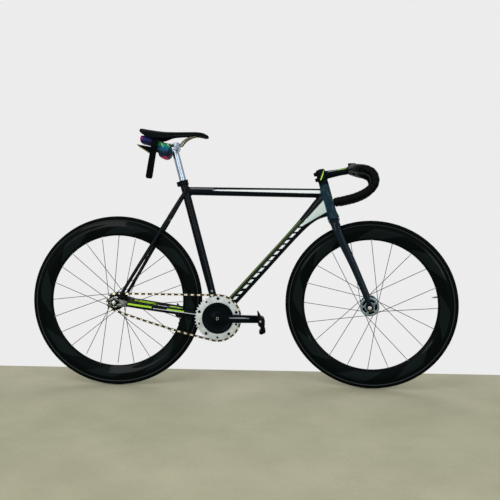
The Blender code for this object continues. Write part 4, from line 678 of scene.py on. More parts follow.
def bag_finish():
    """Printed ripstop: broad soft clouds of colour, cool behind and green in front."""
    f = Finish("bag_fabric", (0.02, 0.14, 0.13), 0.62, Specular_IOR_Level=0.08)
    x, y, z = f.axes("XYZ")
    stray = (f.noise(34.0, 4.0, 0.6) - 0.5) * 0.036
    place_x, place_z = x + stray, z + stray
    patch = f.cells(62.0, "SMOOTH_F1").ramp(0.15, 0.7)
    rear = (patch * 0.7).mix((0.020, 0.022, 0.14), (0.008, 0.008, 0.03))
    rear = place_x.ramp(-0.126, -0.116, 1.0, 0.0).mix(rear, (0.42, 0.02, 0.14))
    front = patch.mix((0.004, 0.095, 0.18), (0.003, 0.022, 0.070))
    green = (patch * 0.6).mix((0.009, 0.27, 0.10), (0.004, 0.085, 0.060))
    front = place_z.ramp(-0.006, 0.006).mix(front, green)
    streak = (x * 46.0 + z * 30.0).fract().band(0.10, 0.34, 0.05) * place_z.ramp(-0.002, 0.006)
    front = (streak * 0.8).mix(front, (0.34, 0.60, 0.34))
    front = (place_z.ramp(-0.024, -0.012, 1.0, 0.0) * 0.85).mix(front, (0.008, 0.010, 0.020))
    tail = z.ramp(-0.040, -0.037, 1.0, 0.0) * place_x.band(-0.044, -0.020, 0.003)
    front = tail.mix(front, (0.55, 0.03, 0.12))
    colour = place_x.ramp(-0.080, -0.066).mix(rear, front)
    grid = [(v * 240.0).fract().ramp(0.86, 0.9) for v in (x, z)]
    weave = grid[0].larger(grid[1])
    f.put("Base Color", (weave * 0.25).mix(colour, (0.02, 0.02, 0.03)))
    yarn = ((x + y) * 9000.0).sine() + (z * 9000.0).sine()
    return f.bumped(weave + yarn * 0.2, 0.00012, 0.5)


def webbing_finish():
    """Woven black strap."""
    f = Finish("webbing", (0.003, 0.004, 0.004), 0.8, Specular_IOR_Level=0.02)
    x, z = f.axes("XZ")
    relief = ((z + x * 0.5) * 5200.0).sine() * (x * 3900.0).sine()
    f.put("Base Color", relief.ramp(-0.4, 0.6).mix((0.0006, 0.0012, 0.0012),
                                                   (0.0022, 0.0032, 0.0032)))
    return f.bumped(relief, 0.0002, 0.6)


def plain_finish(name, colour, roughness, grain):
    """One colour, a little lighter in patches."""
    f = Finish(name, colour, roughness)
    light = [min(1.0, 1.25 * c) for c in colour]
    f.put("Base Color", f.noise(grain, 5.0).ramp(0.35, 0.7).mix(colour, light))
    return f.bumped(f.noise(8.0 * grain, 2.0), 0.0001, 0.3)


PAINT, FORK_PAINT = frame_finish(), fork_finish()
CARBON, TYRE = carbon_finish(), tyre_finish()
CHAIN, TAPE, COVER = chain_finish(), tape_finish(), cover_finish()
MOULDING, BAG, WEBBING = moulding_finish(), bag_finish(), webbing_finish()
POLISHED = metal_finish("polished_aluminium", (0.27, 0.335, 0.40), 0.28, 0.02, 300.0)
RING = metal_finish("ring_aluminium", (0.76, 0.84, 0.88), 0.34, 0.06, shade=0.45)
STEEL = metal_finish("zinc_steel", (0.50, 0.50, 0.49), 0.36, 0.08)
SPOKE = metal_finish("spoke_steel", (0.012, 0.013, 0.014), 0.38, 0.06, metallic=0.4, specular=0.1)
BLACK = metal_finish("black_anodised", (0.0016, 0.0034, 0.0044), 0.30, 0.05, metallic=0.2,
                     specular=0.035)
DARK_STEEL = metal_finish("dark_steel", (0.10, 0.105, 0.10), 0.34, 0.06, metallic=0.6, specular=0.3)
CLAMP = metal_finish("clamp_aluminium", (0.16, 0.20, 0.25), 0.34, 0.06)
# Pale metal of the painted highlight on the right crank arm
ARM_HIGHLIGHT = metal_finish("arm_highlight_aluminium", (0.24, 0.24, 0.30), 0.40, 0.04, 200.0)
# Cream metal of the painted highlight on the chain's outer plates
PLATE_HIGHLIGHT = metal_finish("painted_plate_highlight", (0.84, 0.78, 0.60), 0.34, 0.06)
RAIL = metal_finish("rail_steel", (0.13, 0.13, 0.085), 0.40, 0.04, 200.0)
LIME_PAINT = plain_finish("lime_paint", LIME, 0.35, 90.0)
OLIVE = plain_finish("olive_webbing", (0.16, 0.15, 0.04), 0.7, 260.0)


# Frame
def seat_point(distance):
    return BRACKET + distance * SEAT_UP


def down_tube():
    """A deep tube whose edges spread into a web above and a gusset below near the head tube."""
    rows = [(share, size * DOWN_TUBE_DEPTH, rise) for share, size, rise in (
        (0.0, 1.0, 0.0), (0.35, 1.0, 0.0), (0.70, 1.0, 0.0), (0.84, 1.22, 0.0055),
        (0.92, 1.72, 0.0115))]
    rings = []
    for share, depth, rise in np.array(spline(rows + [(1.0, GUSSET_DEPTH, 0.0080)], 10)):
        centre = BRACKET.lerp(DOWN_TOP, share) + DOWN_UP * (rise - depth + DOWN_TUBE_DEPTH) / 2
        along = DOWN_ALONG.lerp(HEAD_FORWARD, max(0.0, (share - 0.70) / 0.30))
        rings.append(oval(centre, along, DOWN_TUBE_WIDTH / 2, (depth + rise) / 2, 44, 2.3))
    return skin(bmesh.new(), rings)


def stay_stations(side, start, end, rows, width, depth):
    """Stations of a stay from (share, distance off the middle, size) rows."""
    stations = []
    for share, offset, size in rows:
        centre = start.lerp(end, share)
        centre.y = side * offset
        stations.append((centre, width * size, depth * size))
    return stations


def chainstay(side):
    rows = ((0.0, 0.0200, 0.88), (1.0 - WHEEL_RADIUS / CHAINSTAY, CHAINSTAY_MID_Y, 1.0),
            (0.45, 0.0385, 0.98), (0.80, 0.0570, 0.86), (1.0, DROPOUT_INNER + 0.0030, 0.76))
    return stay_stations(side, BRACKET, STAY_END, rows, CHAINSTAY_WIDTH, CHAINSTAY_DEPTH)


def seatstay(side):
    rows = ((0.0, 0.0095, 1.0), (0.30, 0.0300, 1.0), (0.75, 0.0560, 0.92),
            (1.0, DROPOUT_INNER + 0.0032, 0.85))
    return stay_stations(side, seat_point(SEAT_TUBE_LENGTH - SEATSTAY_TOP_DROP),
                         REAR_AXLE + Vector((0.0142, 0.0, DROPOUT_HEIGHT - 0.004)), rows,
                         SEATSTAY_WIDTH, SEATSTAY_DEPTH)


def build_frame():
    """All tubes as one welded skin, cut level at its ends, with bores for what goes through."""
    size, seat_end = 2 * SEAT_TUBE_RADIUS, SEAT_TUBE_LENGTH
    seat_tube = tube([(seat_point(0.0), SEAT_TUBE_BASE_WIDTH, SEAT_TUBE_BASE_DEPTH),
                      (seat_point(0.16 * seat_end), size, 0.5 * (SEAT_TUBE_BASE_DEPTH + size)),
                      (seat_point(0.36 * seat_end), size, size),
                      (seat_point(0.70 * seat_end), size, size),
                      (seat_point(seat_end + 0.004), size, size)])
    depth = 0.5 * (TOP_TUBE_DEPTH_REAR + TOP_TUBE_DEPTH_FRONT)
    top_tube = tube([(TOP_REAR, 0.92 * TOP_TUBE_WIDTH, TOP_TUBE_DEPTH_REAR),
                     (TOP_REAR.lerp(TOP_FRONT, 0.45), TOP_TUBE_WIDTH, depth),
                     (TOP_FRONT, TOP_TUBE_WIDTH, TOP_TUBE_DEPTH_FRONT)], 40, 2.3)
    low, high = HEADSET_GAP, HEAD_TUBE_TOP
    base, top = HEAD_TUBE_BASE_RADIUS, HEAD_TUBE_TOP_RADIUS
    flare = spline([(base, low - 0.004), (base, low + 0.005),
                    (0.65 * base + 0.35 * top, low + 0.012),
                    (0.20 * base + 0.80 * top, low + 0.022), (top, low + 0.038),
                    (top, high + 0.004)], 8)
    half, crossing = BRACKET_WIDTH / 2, CRANKS @ ALONG_Y
    shell = rod(BRACKET_RADIUS, -half - 0.003, half + 0.003, 56, crossing)
    stays = seatstay(LEFT)
    above = stays[0][0].lerp(stays[1][0], 0.88)
    bridge = rod(BRIDGE_RADIUS, -above.y, above.y, 28, place(above.x, 0.0, above.z) @ ALONG_Y)
    joints = [(TOP_REAR, 0.040), (TOP_FRONT, 0.042), (DOWN_TOP, 0.060),
              (CROWN + 0.060 * HEAD_UP, 0.045), (BRACKET, 0.056),
              (Vector((above.x, above.y, above.z)), 0.014),
              (Vector((above.x, -above.y, above.z)), 0.014)]
    far = 0.2
    cuts = ((0.06, half, far, 32, crossing), (0.06, -far, -half, 32, crossing),
            (0.04, high, high + 0.03, 32, HEAD_AXES), (0.04, low - 0.03, low, 32, HEAD_AXES),
            (0.03, seat_end, seat_end + 0.03, 32, SEAT_AXES),
            (POST_RADIUS + GAP, seat_end - POST_BORE_DEPTH, seat_end + 0.02, 48, SEAT_AXES),
            (BRACKET_BORE, -far, far, 48, crossing),
            (HEAD_TUBE_BORE, low - 0.02, high + 0.02, 48, HEAD_AXES),
            (BEARING_RADIUS + GAP, high - BEARING_WIDTH - GAP, high + 0.02, 48, HEAD_AXES),
            (LOWER_BEARING_RADIUS + GAP, low - 0.02, low + BEARING_WIDTH + GAP, 48, HEAD_AXES))
    form = merged(seat_tube, top_tube, down_tube(), turned(flare, 56, False, HEAD_AXES), shell,
                  tube(chainstay(LEFT), 32, 2.4), tube(chainstay(RIGHT), 32, 2.4),
                  tube(stays, 24), tube(seatstay(RIGHT), 24), bridge)
    mesh = welded(form, FRAME_VOXEL, (5, 34), joints, [rod(*cut) for cut in cuts])
    piece("frame_tubes", mesh, "frame", PAINT,
          ("head_tube", "top_tube", "down_tube", "seat_tube", "bottom_bracket_shell",
           "chainstay_left", "chainstay_right", "seatstay_left", "seatstay_right",
           "seatstay_bridge"))


def dropout_outline():
    """Rear-facing fork end with an open slot, round lips and a square front."""
    slot, front = REAR_AXLE_RADIUS + GAP, REAR_AXLE.x + DROPOUT_REACH
    x, z = REAR_AXLE.x, REAR_AXLE.z
    return ([(front, z - 0.0165), (front, z + 0.0050), (x + 0.024, z + 0.0110),
             (x + 0.0215, z + DROPOUT_HEIGHT), (x + 0.0060, z + DROPOUT_HEIGHT)]
            + arc(0.0095, 100.0, 170.0, 6, x - 0.0165, z + slot + 0.0010)
            + [(x - 0.0270, z + slot)] + arc(slot, 90.0, -90.0, 13, x + 0.016, z)
            + [(x - 0.0270, z - slot)]
            + arc(0.0095, 190.0, 260.0, 6, x - 0.0165, z - slot - 0.0010)
            + [(x + 0.0060, z - DROPOUT_HEIGHT)])


def build_frame_fittings():
    """Dropouts, seat collar, a bottle-cage bolt and the headset's rings."""
    for side, word in SIDES:
        low, high = span(side, DROPOUT_INNER, DROPOUT_INNER + DROPOUT_THICKNESS)
        piece("dropout_plate_" + word, bevelled(plate(dropout_outline(), [], low, high), 0.0007),
              "frame", DARK_STEEL, ("dropout_" + word,))
    inner, outer = SEAT_TUBE_RADIUS + GAP, SEAT_TUBE_RADIUS + COLLAR_WALL
    low, lip = SEAT_TUBE_LENGTH - COLLAR_HEIGHT + 0.002, SEAT_TUBE_LENGTH + COLLAR_LIP
    ring = turned([(inner, low), (outer - 0.0008, low), (outer, low + 0.0012), (outer, lip - 0.003),
                   (outer + 0.0012, lip - 0.0018), (outer + 0.0012, lip), (inner, lip)], 64, True)
    lug = block([(-outer - 0.0070, low + 0.0025), (-outer - 0.0050, low + 0.001),
                 (-outer + 0.0015, low + 0.001), (-outer + 0.0015, lip), (-outer - 0.0055, lip),
                 (-outer - 0.0070, lip - 0.002)], -0.0085, 0.0085)
    piece("seat_collar", merged(ring, bevelled(lug, 0.0006)), "frame", BLACK,
          ("seat_clamp",), SEAT_AXES)
    piece("seat_collar_bolt", bevelled(rod(0.0027, -0.0098, 0.0098, 20), 0.0005), "frame",
          BLACK, matrix=SEAT_AXES @ place(-outer - 0.0035, 0.0, 0.5 * (low + lip)) @ ALONG_Y)
    away = Vector((0.11, -0.99, 0.03)).normalized()
    head = turned([(0.0050, 0.0), (0.0050, 0.0016), (0.0036, 0.0028), (0.0014, 0.0028),
                   (0.0014, 0.0014)], 24)
    piece("boss_bolt_seat_low", head, "frame", POLISHED,
          matrix=facing(away, seat_point(0.1044) + 0.0152 * away), angle=40.0)
    for word, low, high, radius in (
            ("lower", GAP, GAP + BEARING_WIDTH, LOWER_BEARING_RADIUS),
            ("upper", HEAD_TUBE_TOP - BEARING_WIDTH, HEAD_TUBE_TOP, BEARING_RADIUS)):
        form = bevelled(washer(STEERER_RADIUS + GAP, radius, low, high, 56), 0.0005)
        piece("headset_ring_" + word, form, "frame", BLACK,
              ("headset_bearing_" + word,), HEAD_AXES)


# Wheels
def rim_rings():
    """Section of the rim as (radius, half width), from one edge over the spoke bed to the other."""
    edge, bed = RIM_RADIUS, RIM_RADIUS - RIM_DEPTH
    half, bulge = RIM_WIDTH / 2, RIM_BULGE / 2
    side = [(edge, half - 0.0006)] + spline([
        (edge - 0.0006, half), (edge - 0.0090, half + 0.0002), (edge - 0.34 * RIM_DEPTH, bulge),
        (edge - 0.60 * RIM_DEPTH, 0.82 * bulge), (bed + 0.0100, 0.0064), (bed + 0.0030, 0.0042),
        (bed, 0.0006)], 5)
    return side + [(r, -y) for r, y in side[::-1]]


def tyre_rings():
    """Round casing from one rim edge over the tread to the other."""
    radius, seat = TYRE_WIDTH / 2, RIM_WIDTH / 2 - 0.0035
    casing = arc(radius, -122.0, 122.0, 29, WHEEL_RADIUS - radius)
    return [(RIM_RADIUS - TYRE_SEAT, -seat)] + casing + [(RIM_RADIUS - TYRE_SEAT, seat)]


def spoke_ends(count, flange_radius):
    """Side, way round, foot and tip of each crossed spoke."""
    spacing = 4 * math.pi / count
    root, tip = flange_radius - 0.0030, RIM_RADIUS - RIM_DEPTH - 2 * GAP
    ends = []
    for side in (LEFT, RIGHT):
        for i in range(count // 2):
            way = 1 if i % 2 == 0 else -1
            start = i * spacing + (0.5 * spacing if side == RIGHT else 0.0)
            stop = start + way * 2 * spacing
            lift = SPOKE_LIFT * way
            low = Vector((root * math.cos(start), side * (FLANGE_Y + lift), root * math.sin(start)))
            high = Vector((tip * math.cos(stop), side * (0.0020 + 0.5 * lift),
                           tip * math.sin(stop)))
            ends.append((side, way, low, high))
    return ends


def build_spokes(word, body, matrix, count, flange_radius):
    """Bent spokes with their heads on the flange and nipples at the rim."""
    wires, nipples = bmesh.new(), bmesh.new()
    radii = [SPOKE_RADIUS * ELBOW_SWELL] * 2 + [SPOKE_RADIUS * SPOKE_SWELL] * 3
    for side, way, low, high in spoke_ends(count, flange_radius):
        along = (high - low).normalized()
        foot, elbow = low.copy(), low.copy()
        foot.y = side * (FLANGE_Y - way * (FLANGE_THICKNESS / 2 + 0.0006))
        elbow.y = side * (FLANGE_Y + way * (FLANGE_THICKNESS / 2 + 0.0009))
        path = [foot, elbow, elbow.lerp(high, 0.012), elbow.lerp(high, 0.3), high + 0.004 * along]
        skin(wires, swept(path, radii, 8))
        cap = [foot + Vector((0.0, -side * way * 0.0009 * k, 0.0)) for k in (0, 1)]
        skin(wires, swept(cap, [0.0018, 0.0012], 10))
        stub = [high + k * along for k in (-0.0085, -0.0070, 0.0035)]
        skin(nipples, swept(stub, [0.0013, 0.0019, 0.0019], 8))
    piece(word + "_spokes", wires, body, SPOKE, matrix=matrix)
    piece(word + "_nipples", nipples, body, STEEL, matrix=matrix)


def build_valve(word, body, matrix):
    """Thin valve stem through the rim, with its lock nut and core."""
    core = turned([(0.0030, 0.0150), (0.0020, 0.0162), (0.0013, 0.0162), (0.0013, 0.0190),
                   (0.0019, 0.0192), (0.0019, 0.0215), (0.0012, 0.0225)], 16)
    stem = merged(rod(0.0030, 0.0, 0.0150, 16), rod(0.0041, 0.0005, 0.0028, 6), core)
    inward = place(z=RIM_RADIUS - RIM_DEPTH + 0.002) @ turn(math.pi, "X")
    spin = turn(math.radians(VALVE_ANGLES[word]), "Y")
    piece(word + "_valve", moved(stem, spin @ inward), body, DARK_STEEL, matrix=matrix)


def build_wheel(word, matrix, spacing, spokes, flange_radius, axle_radius, carrier=0.0):
    """Rim, tyre, hub, spokes and valve; carrier is the radius of the cog's seat."""
    body = word + "_wheel"
    piece(word + "_rim_hoop", turned(rim_rings(), HOOP_SIDES, True, ALONG_Y), body, CARBON,
          (word + "_rim",), matrix, 40.0)
    piece(word + "_tyre_casing", turned(tyre_rings(), HOOP_SIDES, True, ALONG_Y), body, TYRE,
          (word + "_tyre",), matrix, 60.0)
    windows, finish, slot = (6, BLACK, "black_metal") if carrier else (5, POLISHED, "silver")
    core, tip = HUB_BODY_RADIUS, HUB_END_RADIUS
    bore, end, waist = axle_radius + 0.0006, spacing / 2 - GAP, 0.85 * core
    flange_in, flange_out = FLANGE_Y - FLANGE_THICKNESS / 2, FLANGE_Y + FLANGE_THICKNESS / 2
    profile = [(tip - 0.0006, end), (tip, end - 0.0006), (tip, flange_out + 0.006),
               (core - 0.001, flange_out + 0.001), (core, flange_out - 0.002),
               (core, FLANGE_Y - 0.004), (waist, FLANGE_Y - 0.0085), (waist - 0.0006, 0.0),
               (waist, 0.0085 - FLANGE_Y), (core, 0.004 - FLANGE_Y), (core, 0.002 - flange_out)]
    if carrier:
        profile += [(carrier, -flange_out), (carrier, -CHAIN_LINE - 0.0065),
                    (tip, -CHAIN_LINE - 0.0065)]
    else:
        profile += [(core - 0.001, -flange_out - 0.001), (tip, -flange_out - 0.006)]
    profile += [(tip, 0.0006 - end), (tip - 0.0006, -end), (bore, -end), (bore, end)]
    parts = [turned(profile, 64, True, ALONG_Y)]
    reach = 132.0 / windows
    for side in (LEFT, RIGHT):
        holes = []
        for i in range(windows):
            middle = 360.0 * i / windows
            holes.append(arc(0.79 * flange_radius, middle - reach, middle + reach, 9)
                         + arc(0.54 * flange_radius, middle + reach, middle - reach, 7))
        holes.append(circle(core - 0.0015, 40))
        disc = plate(circle(flange_radius, 96), holes, *span(side, flange_in, flange_out))
        parts.append(bevelled(disc, 0.0005))
    piece(word + "_hub_shell", merged(*parts), body, finish, (word + "_hub",), matrix)
    shades = [washer(core - 0.001, 0.82 * flange_radius, 0.0, 0.0008, 72,
                     place(y=side * (flange_in + 0.0004)) @ ALONG_Y) for side in (LEFT, RIGHT)]
    piece(word + "_flange_shade", merged(*shades), body, BLACK, matrix=matrix)
    build_spokes(word, body, matrix, spokes, flange_radius)
    build_valve(word, body, matrix)


def build_axle(word, body, matrix, spacing, radius):
    """Threaded axle with a flanged nut and a dark washer at each end."""
    face = spacing / 2 + DROPOUT_THICKNESS
    end = face + AXLE_OVERHANG
    threads = []
    for side in (LEFT, RIGHT):
        low = side * (face + NUT_THICKNESS + GAP)
        steps = [low + (side * end - low) * k / 8 for k in range(9)]
        for here, ahead in zip(steps, steps[1:]):
            threads += [(radius - 0.0004, here), (radius, 0.5 * (here + ahead))]
    threads.sort(key=lambda point: point[1])
    profile = [(radius - 0.0006, -end)] + threads + [(radius - 0.0006, end)]
    piece(word + "_axle_bar", turned(profile, 28, False, ALONG_Y), body, STEEL,
          (word + "_axle",), matrix, 60.0)
    bore, lip = radius + GAP, NUT_RADIUS - 0.0006
    for side, name in SIDES:
        seat = place(y=side * (face + GAP)) @ OUTWARD[side]
        disc = turned([(bore, 0.0), (NUT_RADIUS, 0.0), (NUT_RADIUS, 0.0014), (bore, 0.0018)],
                      40, True)
        nut = bevelled(washer(bore, NUT_RADIUS * 0.97, 0.0016, NUT_THICKNESS, 6), 0.0007)
        piece(word + "_nut_" + name, moved(merged(disc, nut), seat), body, STEEL,
              (word + "_axle_nut_" + name,), matrix)
        cover = turned([(lip, 0.0), (0.0138, 0.0), (0.0138, 0.0012), (0.0122, 0.0026),
                        (lip, 0.0026)], 48, True, seat)
        piece(word + "_nut_washer_" + name, cover, body, BLACK, matrix=matrix)


# Drive
def pitch_radius(teeth):
    return PITCH / (2 * math.sin(math.pi / teeth))


def sprocket_outline(teeth, phase):
    """Rounded roller seats between teeth with small flat tips."""
    pitch_r, seat = pitch_radius(teeth), ROLLER_RADIUS + 2.5 * GAP - 0.0002
    tip = pitch_r + 0.105 * PITCH
    points = []
    for i in range(teeth):
        middle = phase + 2 * math.pi * i / teeth
        centre = Vector((pitch_r * math.cos(middle), pitch_r * math.sin(middle)))
        for degrees in (68.0, 40.0, 0.0, -40.0, -68.0):
            a = middle + math.pi + math.radians(degrees)
            points.append((centre.x + seat * math.cos(a), centre.y + seat * math.sin(a)))
        for across in (0.40, 0.60):
            a = middle + across * 2 * math.pi / teeth
            points.append((tip * math.cos(a), tip * math.sin(a)))
    return points


def chain_curve(sag):
    """The pins' closed route as (length, function) stretches, from the cog's top forward."""
    ring_r, cog_r = pitch_radius(RING_TEETH), pitch_radius(COG_TEETH)
    run = BRACKET - REAR_AXLE
    tilt, lean = math.atan2(run.z, run.x), math.asin((ring_r - cog_r) / run.length)
    top, bottom = tilt + lean + math.pi / 2, tilt - lean - math.pi / 2
    free = math.sqrt(run.length ** 2 - (ring_r - cog_r) ** 2)

    def on_ring(angle, centre=BRACKET, radius=ring_r):
        return Vector((centre.x + radius * math.cos(angle), 0.0,
                       centre.z + radius * math.sin(angle)))

    def on_cog(angle):
        return on_ring(angle, REAR_AXLE, cog_r)

    def lower(s):
        t = s / free
        return on_ring(bottom).lerp(on_cog(bottom), t) - Vector((0.0, 0.0, 4 * sag * t * (1 - t)))

    return [(free, lambda s: on_cog(top).lerp(on_ring(top), s / free)),
            (ring_r * (top - bottom), lambda s: on_ring(top - s / ring_r)), (free, lower),
            (cog_r * (2 * math.pi - top + bottom), lambda s: on_cog(bottom - s / cog_r))]


def halved(low, high, falls_short):
    """The upper end of a stretch after forty halvings towards where falls_short turns false."""
    for _ in range(40):
        middle = 0.5 * (low + high)
        if falls_short(middle):
            low = middle
        else:
            high = middle
    return high


def walk_chain(sag, links):
    """Steps one pitch at a time round the route; returns the pins and the distance left over."""
    stretches = chain_curve(sag)
    total = sum(length for length, route in stretches)

    def at(s):
        s = s % total
        for length, route in stretches:
            if s <= length:
                return route(s)
            s -= length
        return stretches[-1][1](stretches[-1][0])

    pins, s = [at(0.0)], 0.0
    for i in range(links):
        s = halved(s + 0.9 * PITCH, s + 1.1 * PITCH, lambda m: (at(m) - pins[-1]).length < PITCH)
        pins.append(at(s))
    return pins, s - total


def chain_pins():
    """The pins of the shortest chain that closes, with its spare length hanging below."""
    links = 2 * math.floor(sum(length for length, route in chain_curve(0.0)) / PITCH / 2)
    while walk_chain(0.0, links)[1] < 0.0:
        links += 2
    sag = halved(0.0, 0.5 * CHAINSTAY, lambda depth: walk_chain(depth, links)[1] > 0.0)
    return walk_chain(sag, links)[0][:-1]


PINS = chain_pins()


def link_outline(size, waist):
    """Figure-of-eight side plate."""
    half, radius = PITCH / 2, size * PLATE_HALF_HEIGHT
    return (arc(radius, -125.0, 125.0, 11, half) + [(0.0, waist * PLATE_HALF_HEIGHT)]
            + arc(radius, 55.0, 305.0, 11, -half) + [(0.0, -waist * PLATE_HALF_HEIGHT)])


def build_chain():
    """Plates, rollers and pins of every link, and painted highlights on the outer plates."""
    inner_face = CHAIN_INNER_WIDTH / 2
    top = inner_face + 2 * PLATE_THICKNESS
    outer_plate, inner_plate = link_outline(1.0, 0.72), link_outline(0.97, 0.76)
    # Smaller cream faces on the outer plates: a painted highlight
    shine = [(0.58 * x, 0.80 * z) for x, z in outer_plate]
    form, glints = bmesh.new(), bmesh.new()
    for i, (pin, ahead) in enumerate(zip(PINS, PINS[1:] + PINS[:1])):
        heading = ahead - pin
        link = Matrix.Translation((pin + ahead) / 2) @ turn(-math.atan2(heading.z, heading.x), "Y")
        outside = i % 2
        near = inner_face + PLATE_THICKNESS + 0.00005 if outside else inner_face
        for side in (LEFT, RIGHT):
            low, high = span(side, near, near + PLATE_THICKNESS - 0.0001)
            prism(form, outer_plate if outside else inner_plate, low, high, link)
            if outside:
                prism(glints, shine, *span(side, top - 0.0004, top + 0.00012), link)
        axle = Matrix.Translation(pin) @ ALONG_Y
        for radius, reach, sides in ((ROLLER_RADIUS, inner_face - 0.0001, 14),
                                     (CHAIN_PIN_RADIUS, top + 0.00035, 10)):
            skin(form, [[axle @ Vector((radius * math.cos(a), radius * math.sin(a), y))
                         for a in [2 * math.pi * k / sides for k in range(sides)]]
                        for y in (-reach, reach)])
    line = place(y=-CHAIN_LINE)
    piece("drive_chain", form, "frame", CHAIN, ("chain",), line)
    piece("chain_painted_highlights", glints, "frame", PLATE_HIGHLIGHT, matrix=line)


def toothed(teeth, centre, pin, holes):
    """A sprocket's plate on the chain line, with a tooth gap at a pin."""
    half, phase = TOOTH_THICKNESS / 2, math.atan2(pin.z - centre.z, pin.x - centre.x)
    outline = sprocket_outline(teeth, phase)
    return bevelled(plate(outline, holes, -CHAIN_LINE - half, -CHAIN_LINE + half), 0.0004, 1, 40.0)


def build_cog():
    """Cog with its step, and the notched lockring."""
    half, inner = TOOTH_THICKNESS / 2, CARRIER_RADIUS + GAP
    teeth = toothed(COG_TEETH, REAR_AXLE, min(PINS, key=lambda p: p.x), [circle(inner, 48)])
    step = washer(inner, CARRIER_RADIUS + 0.0060, half, half + 0.0026, 48,
                  place(y=-CHAIN_LINE) @ ALONG_Y)
    piece("cog_teeth", merged(teeth, step), "rear_wheel", BLACK, ("cog",), REAR_HUB)
    outer, face = CARRIER_RADIUS + 0.0045, CHAIN_LINE + half + GAP
    outline = []
    for a in range(0, 360, 60):
        outline += arc(outer, a, a + 42.0, 6) + arc(outer - 0.0022, a + 44.0, a + 58.0, 3)
    ring = bevelled(plate(outline, [circle(inner, 40)], -face - 0.0040, -face), 0.0004, 1)
    piece("lockring", ring, "rear_wheel", STEEL, ("cog_lockring",), REAR_HUB)


def build_chainring():
    """Chainring with rounded square windows, large and small in turn, and a dark ring in them."""
    holes = [circle(RING_BORE, 72)]
    for i in range(RING_WINDOWS):
        a = 360.0 * (i + 0.5) / RING_WINDOWS
        x, z = WINDOW_RADIUS * math.cos(math.radians(a)), WINDOW_RADIUS * math.sin(math.radians(a))
        size = 0.0066 if i % 2 == 0 else 0.0046
        rounded = []
        for k, (cx, cz) in enumerate(arc(size * 0.72, a, a + 270.0, 4, x, z)):
            rounded += arc(size * 0.28, a + 90.0 * k - 45.0, a + 90.0 * k + 45.0, 5, cx, cz)
        holes.append(rounded)
    ring = toothed(RING_TEETH, BRACKET, max(PINS, key=lambda p: p.x), holes)
    piece("toothed_ring", ring, "cranks", RING, ("chainring",), CRANKS)
    insert = washer(0.0695, 0.0815, -0.0005, 0.0005, 160, place(y=-CHAIN_LINE) @ ALONG_Y)
    piece("ring_insert", insert, "cranks", BLACK, matrix=CRANKS)


def build_crank(side, word):
    """Forged arm with rounded edges and a bolted boss; the right one has the ring's disc and a
    painted highlight along its face.
    """
    face, back = CRANK_ARM_OUTER, CRANK_ARM_INNER
    end, start = -side * CRANK_LENGTH, 0.0 if side == RIGHT else 180.0
    outline = (arc(CRANK_WIDTH / 2, start + 78.0, start + 282.0, 21)
               + arc(CRANK_EYE_RADIUS, start - 86.0, start + 86.0, 19, end))
    hole = circle(PEDAL_SPINDLE_RADIUS + GAP, 28, end)
    seat = place(y=side * face) @ OUTWARD[side]
    parts = [bevelled(plate(outline, [hole], *span(side, back, face)), 0.0026, 4, 30.0),
             turned([(0.0125, 0.0), (0.0125, 0.0008), (0.0112, 0.0012), (0.0075, 0.0012),
                     (0.0066, -0.0020), (0.0, -0.0020)], 40, False, seat)]
    if side == RIGHT:
        inner, r = CHAIN_LINE + TOOTH_THICKNESS / 2 + GAP, CRANK_DISC_RADIUS
        parts.append(turned([
            (0.020, inner), (r - 0.0006, inner), (r, inner + 0.0006), (r, back - 0.0008),
            (r - 0.0012, back + 0.0004), (r - 0.0100, back + 0.0010), (r - 0.0112, back + 0.0004),
            (0.0220, back + 0.0006), (0.0200, back + 0.0014), (0.0, back + 0.0014)],
            128, False, OUTWARD[RIGHT]))
    piece("crank_arm_" + word, merged(*parts), "cranks", BLACK, ("crank_" + word,),
          CRANKS)
    bolt = turned([(0.0066, -0.0018), (0.0066, -0.0006), (0.0052, 0.0006), (0.0040, 0.0006),
                   (0.0040, -0.0014), (0.0, -0.0014)], 6 if side == LEFT else 40, False, seat)
    piece("crank_bolt_" + word, bolt, "cranks", STEEL, matrix=CRANKS, angle=40.0)
    if side == RIGHT:
        # A pale metal ridge along the right arm's face: a painted highlight
        ridge = tube([(Vector((0.046, -face + 0.0006, 0.0030)), 0.0018, 0.0040),
                      (Vector((0.090, -face + 0.0004, 0.0036)), 0.0022, 0.0060),
                      (Vector((0.122, -face + 0.0006, 0.0030)), 0.0018, 0.0040)], 16)
        piece("crank_highlight_ridge", ridge, "cranks", ARM_HIGHLIGHT, matrix=CRANKS)


PEDAL_OUTLINE = (
    (-0.0125, 0.0400), (-0.0060, 0.0330), (0.0020, 0.0175), (0.0125, 0.0130), (0.0165, 0.0050),
    (0.0165, -0.0200), (0.0205, -0.0350), (0.0200, -0.0430), (0.0130, -0.0465), (0.0060, -0.0510),
    (-0.0030, -0.0480), (-0.0040, -0.0400), (0.0010, -0.0340), (0.0020, -0.0240),
    (-0.0080, -0.0140), (-0.0110, 0.0020), (-0.0105, 0.0140))


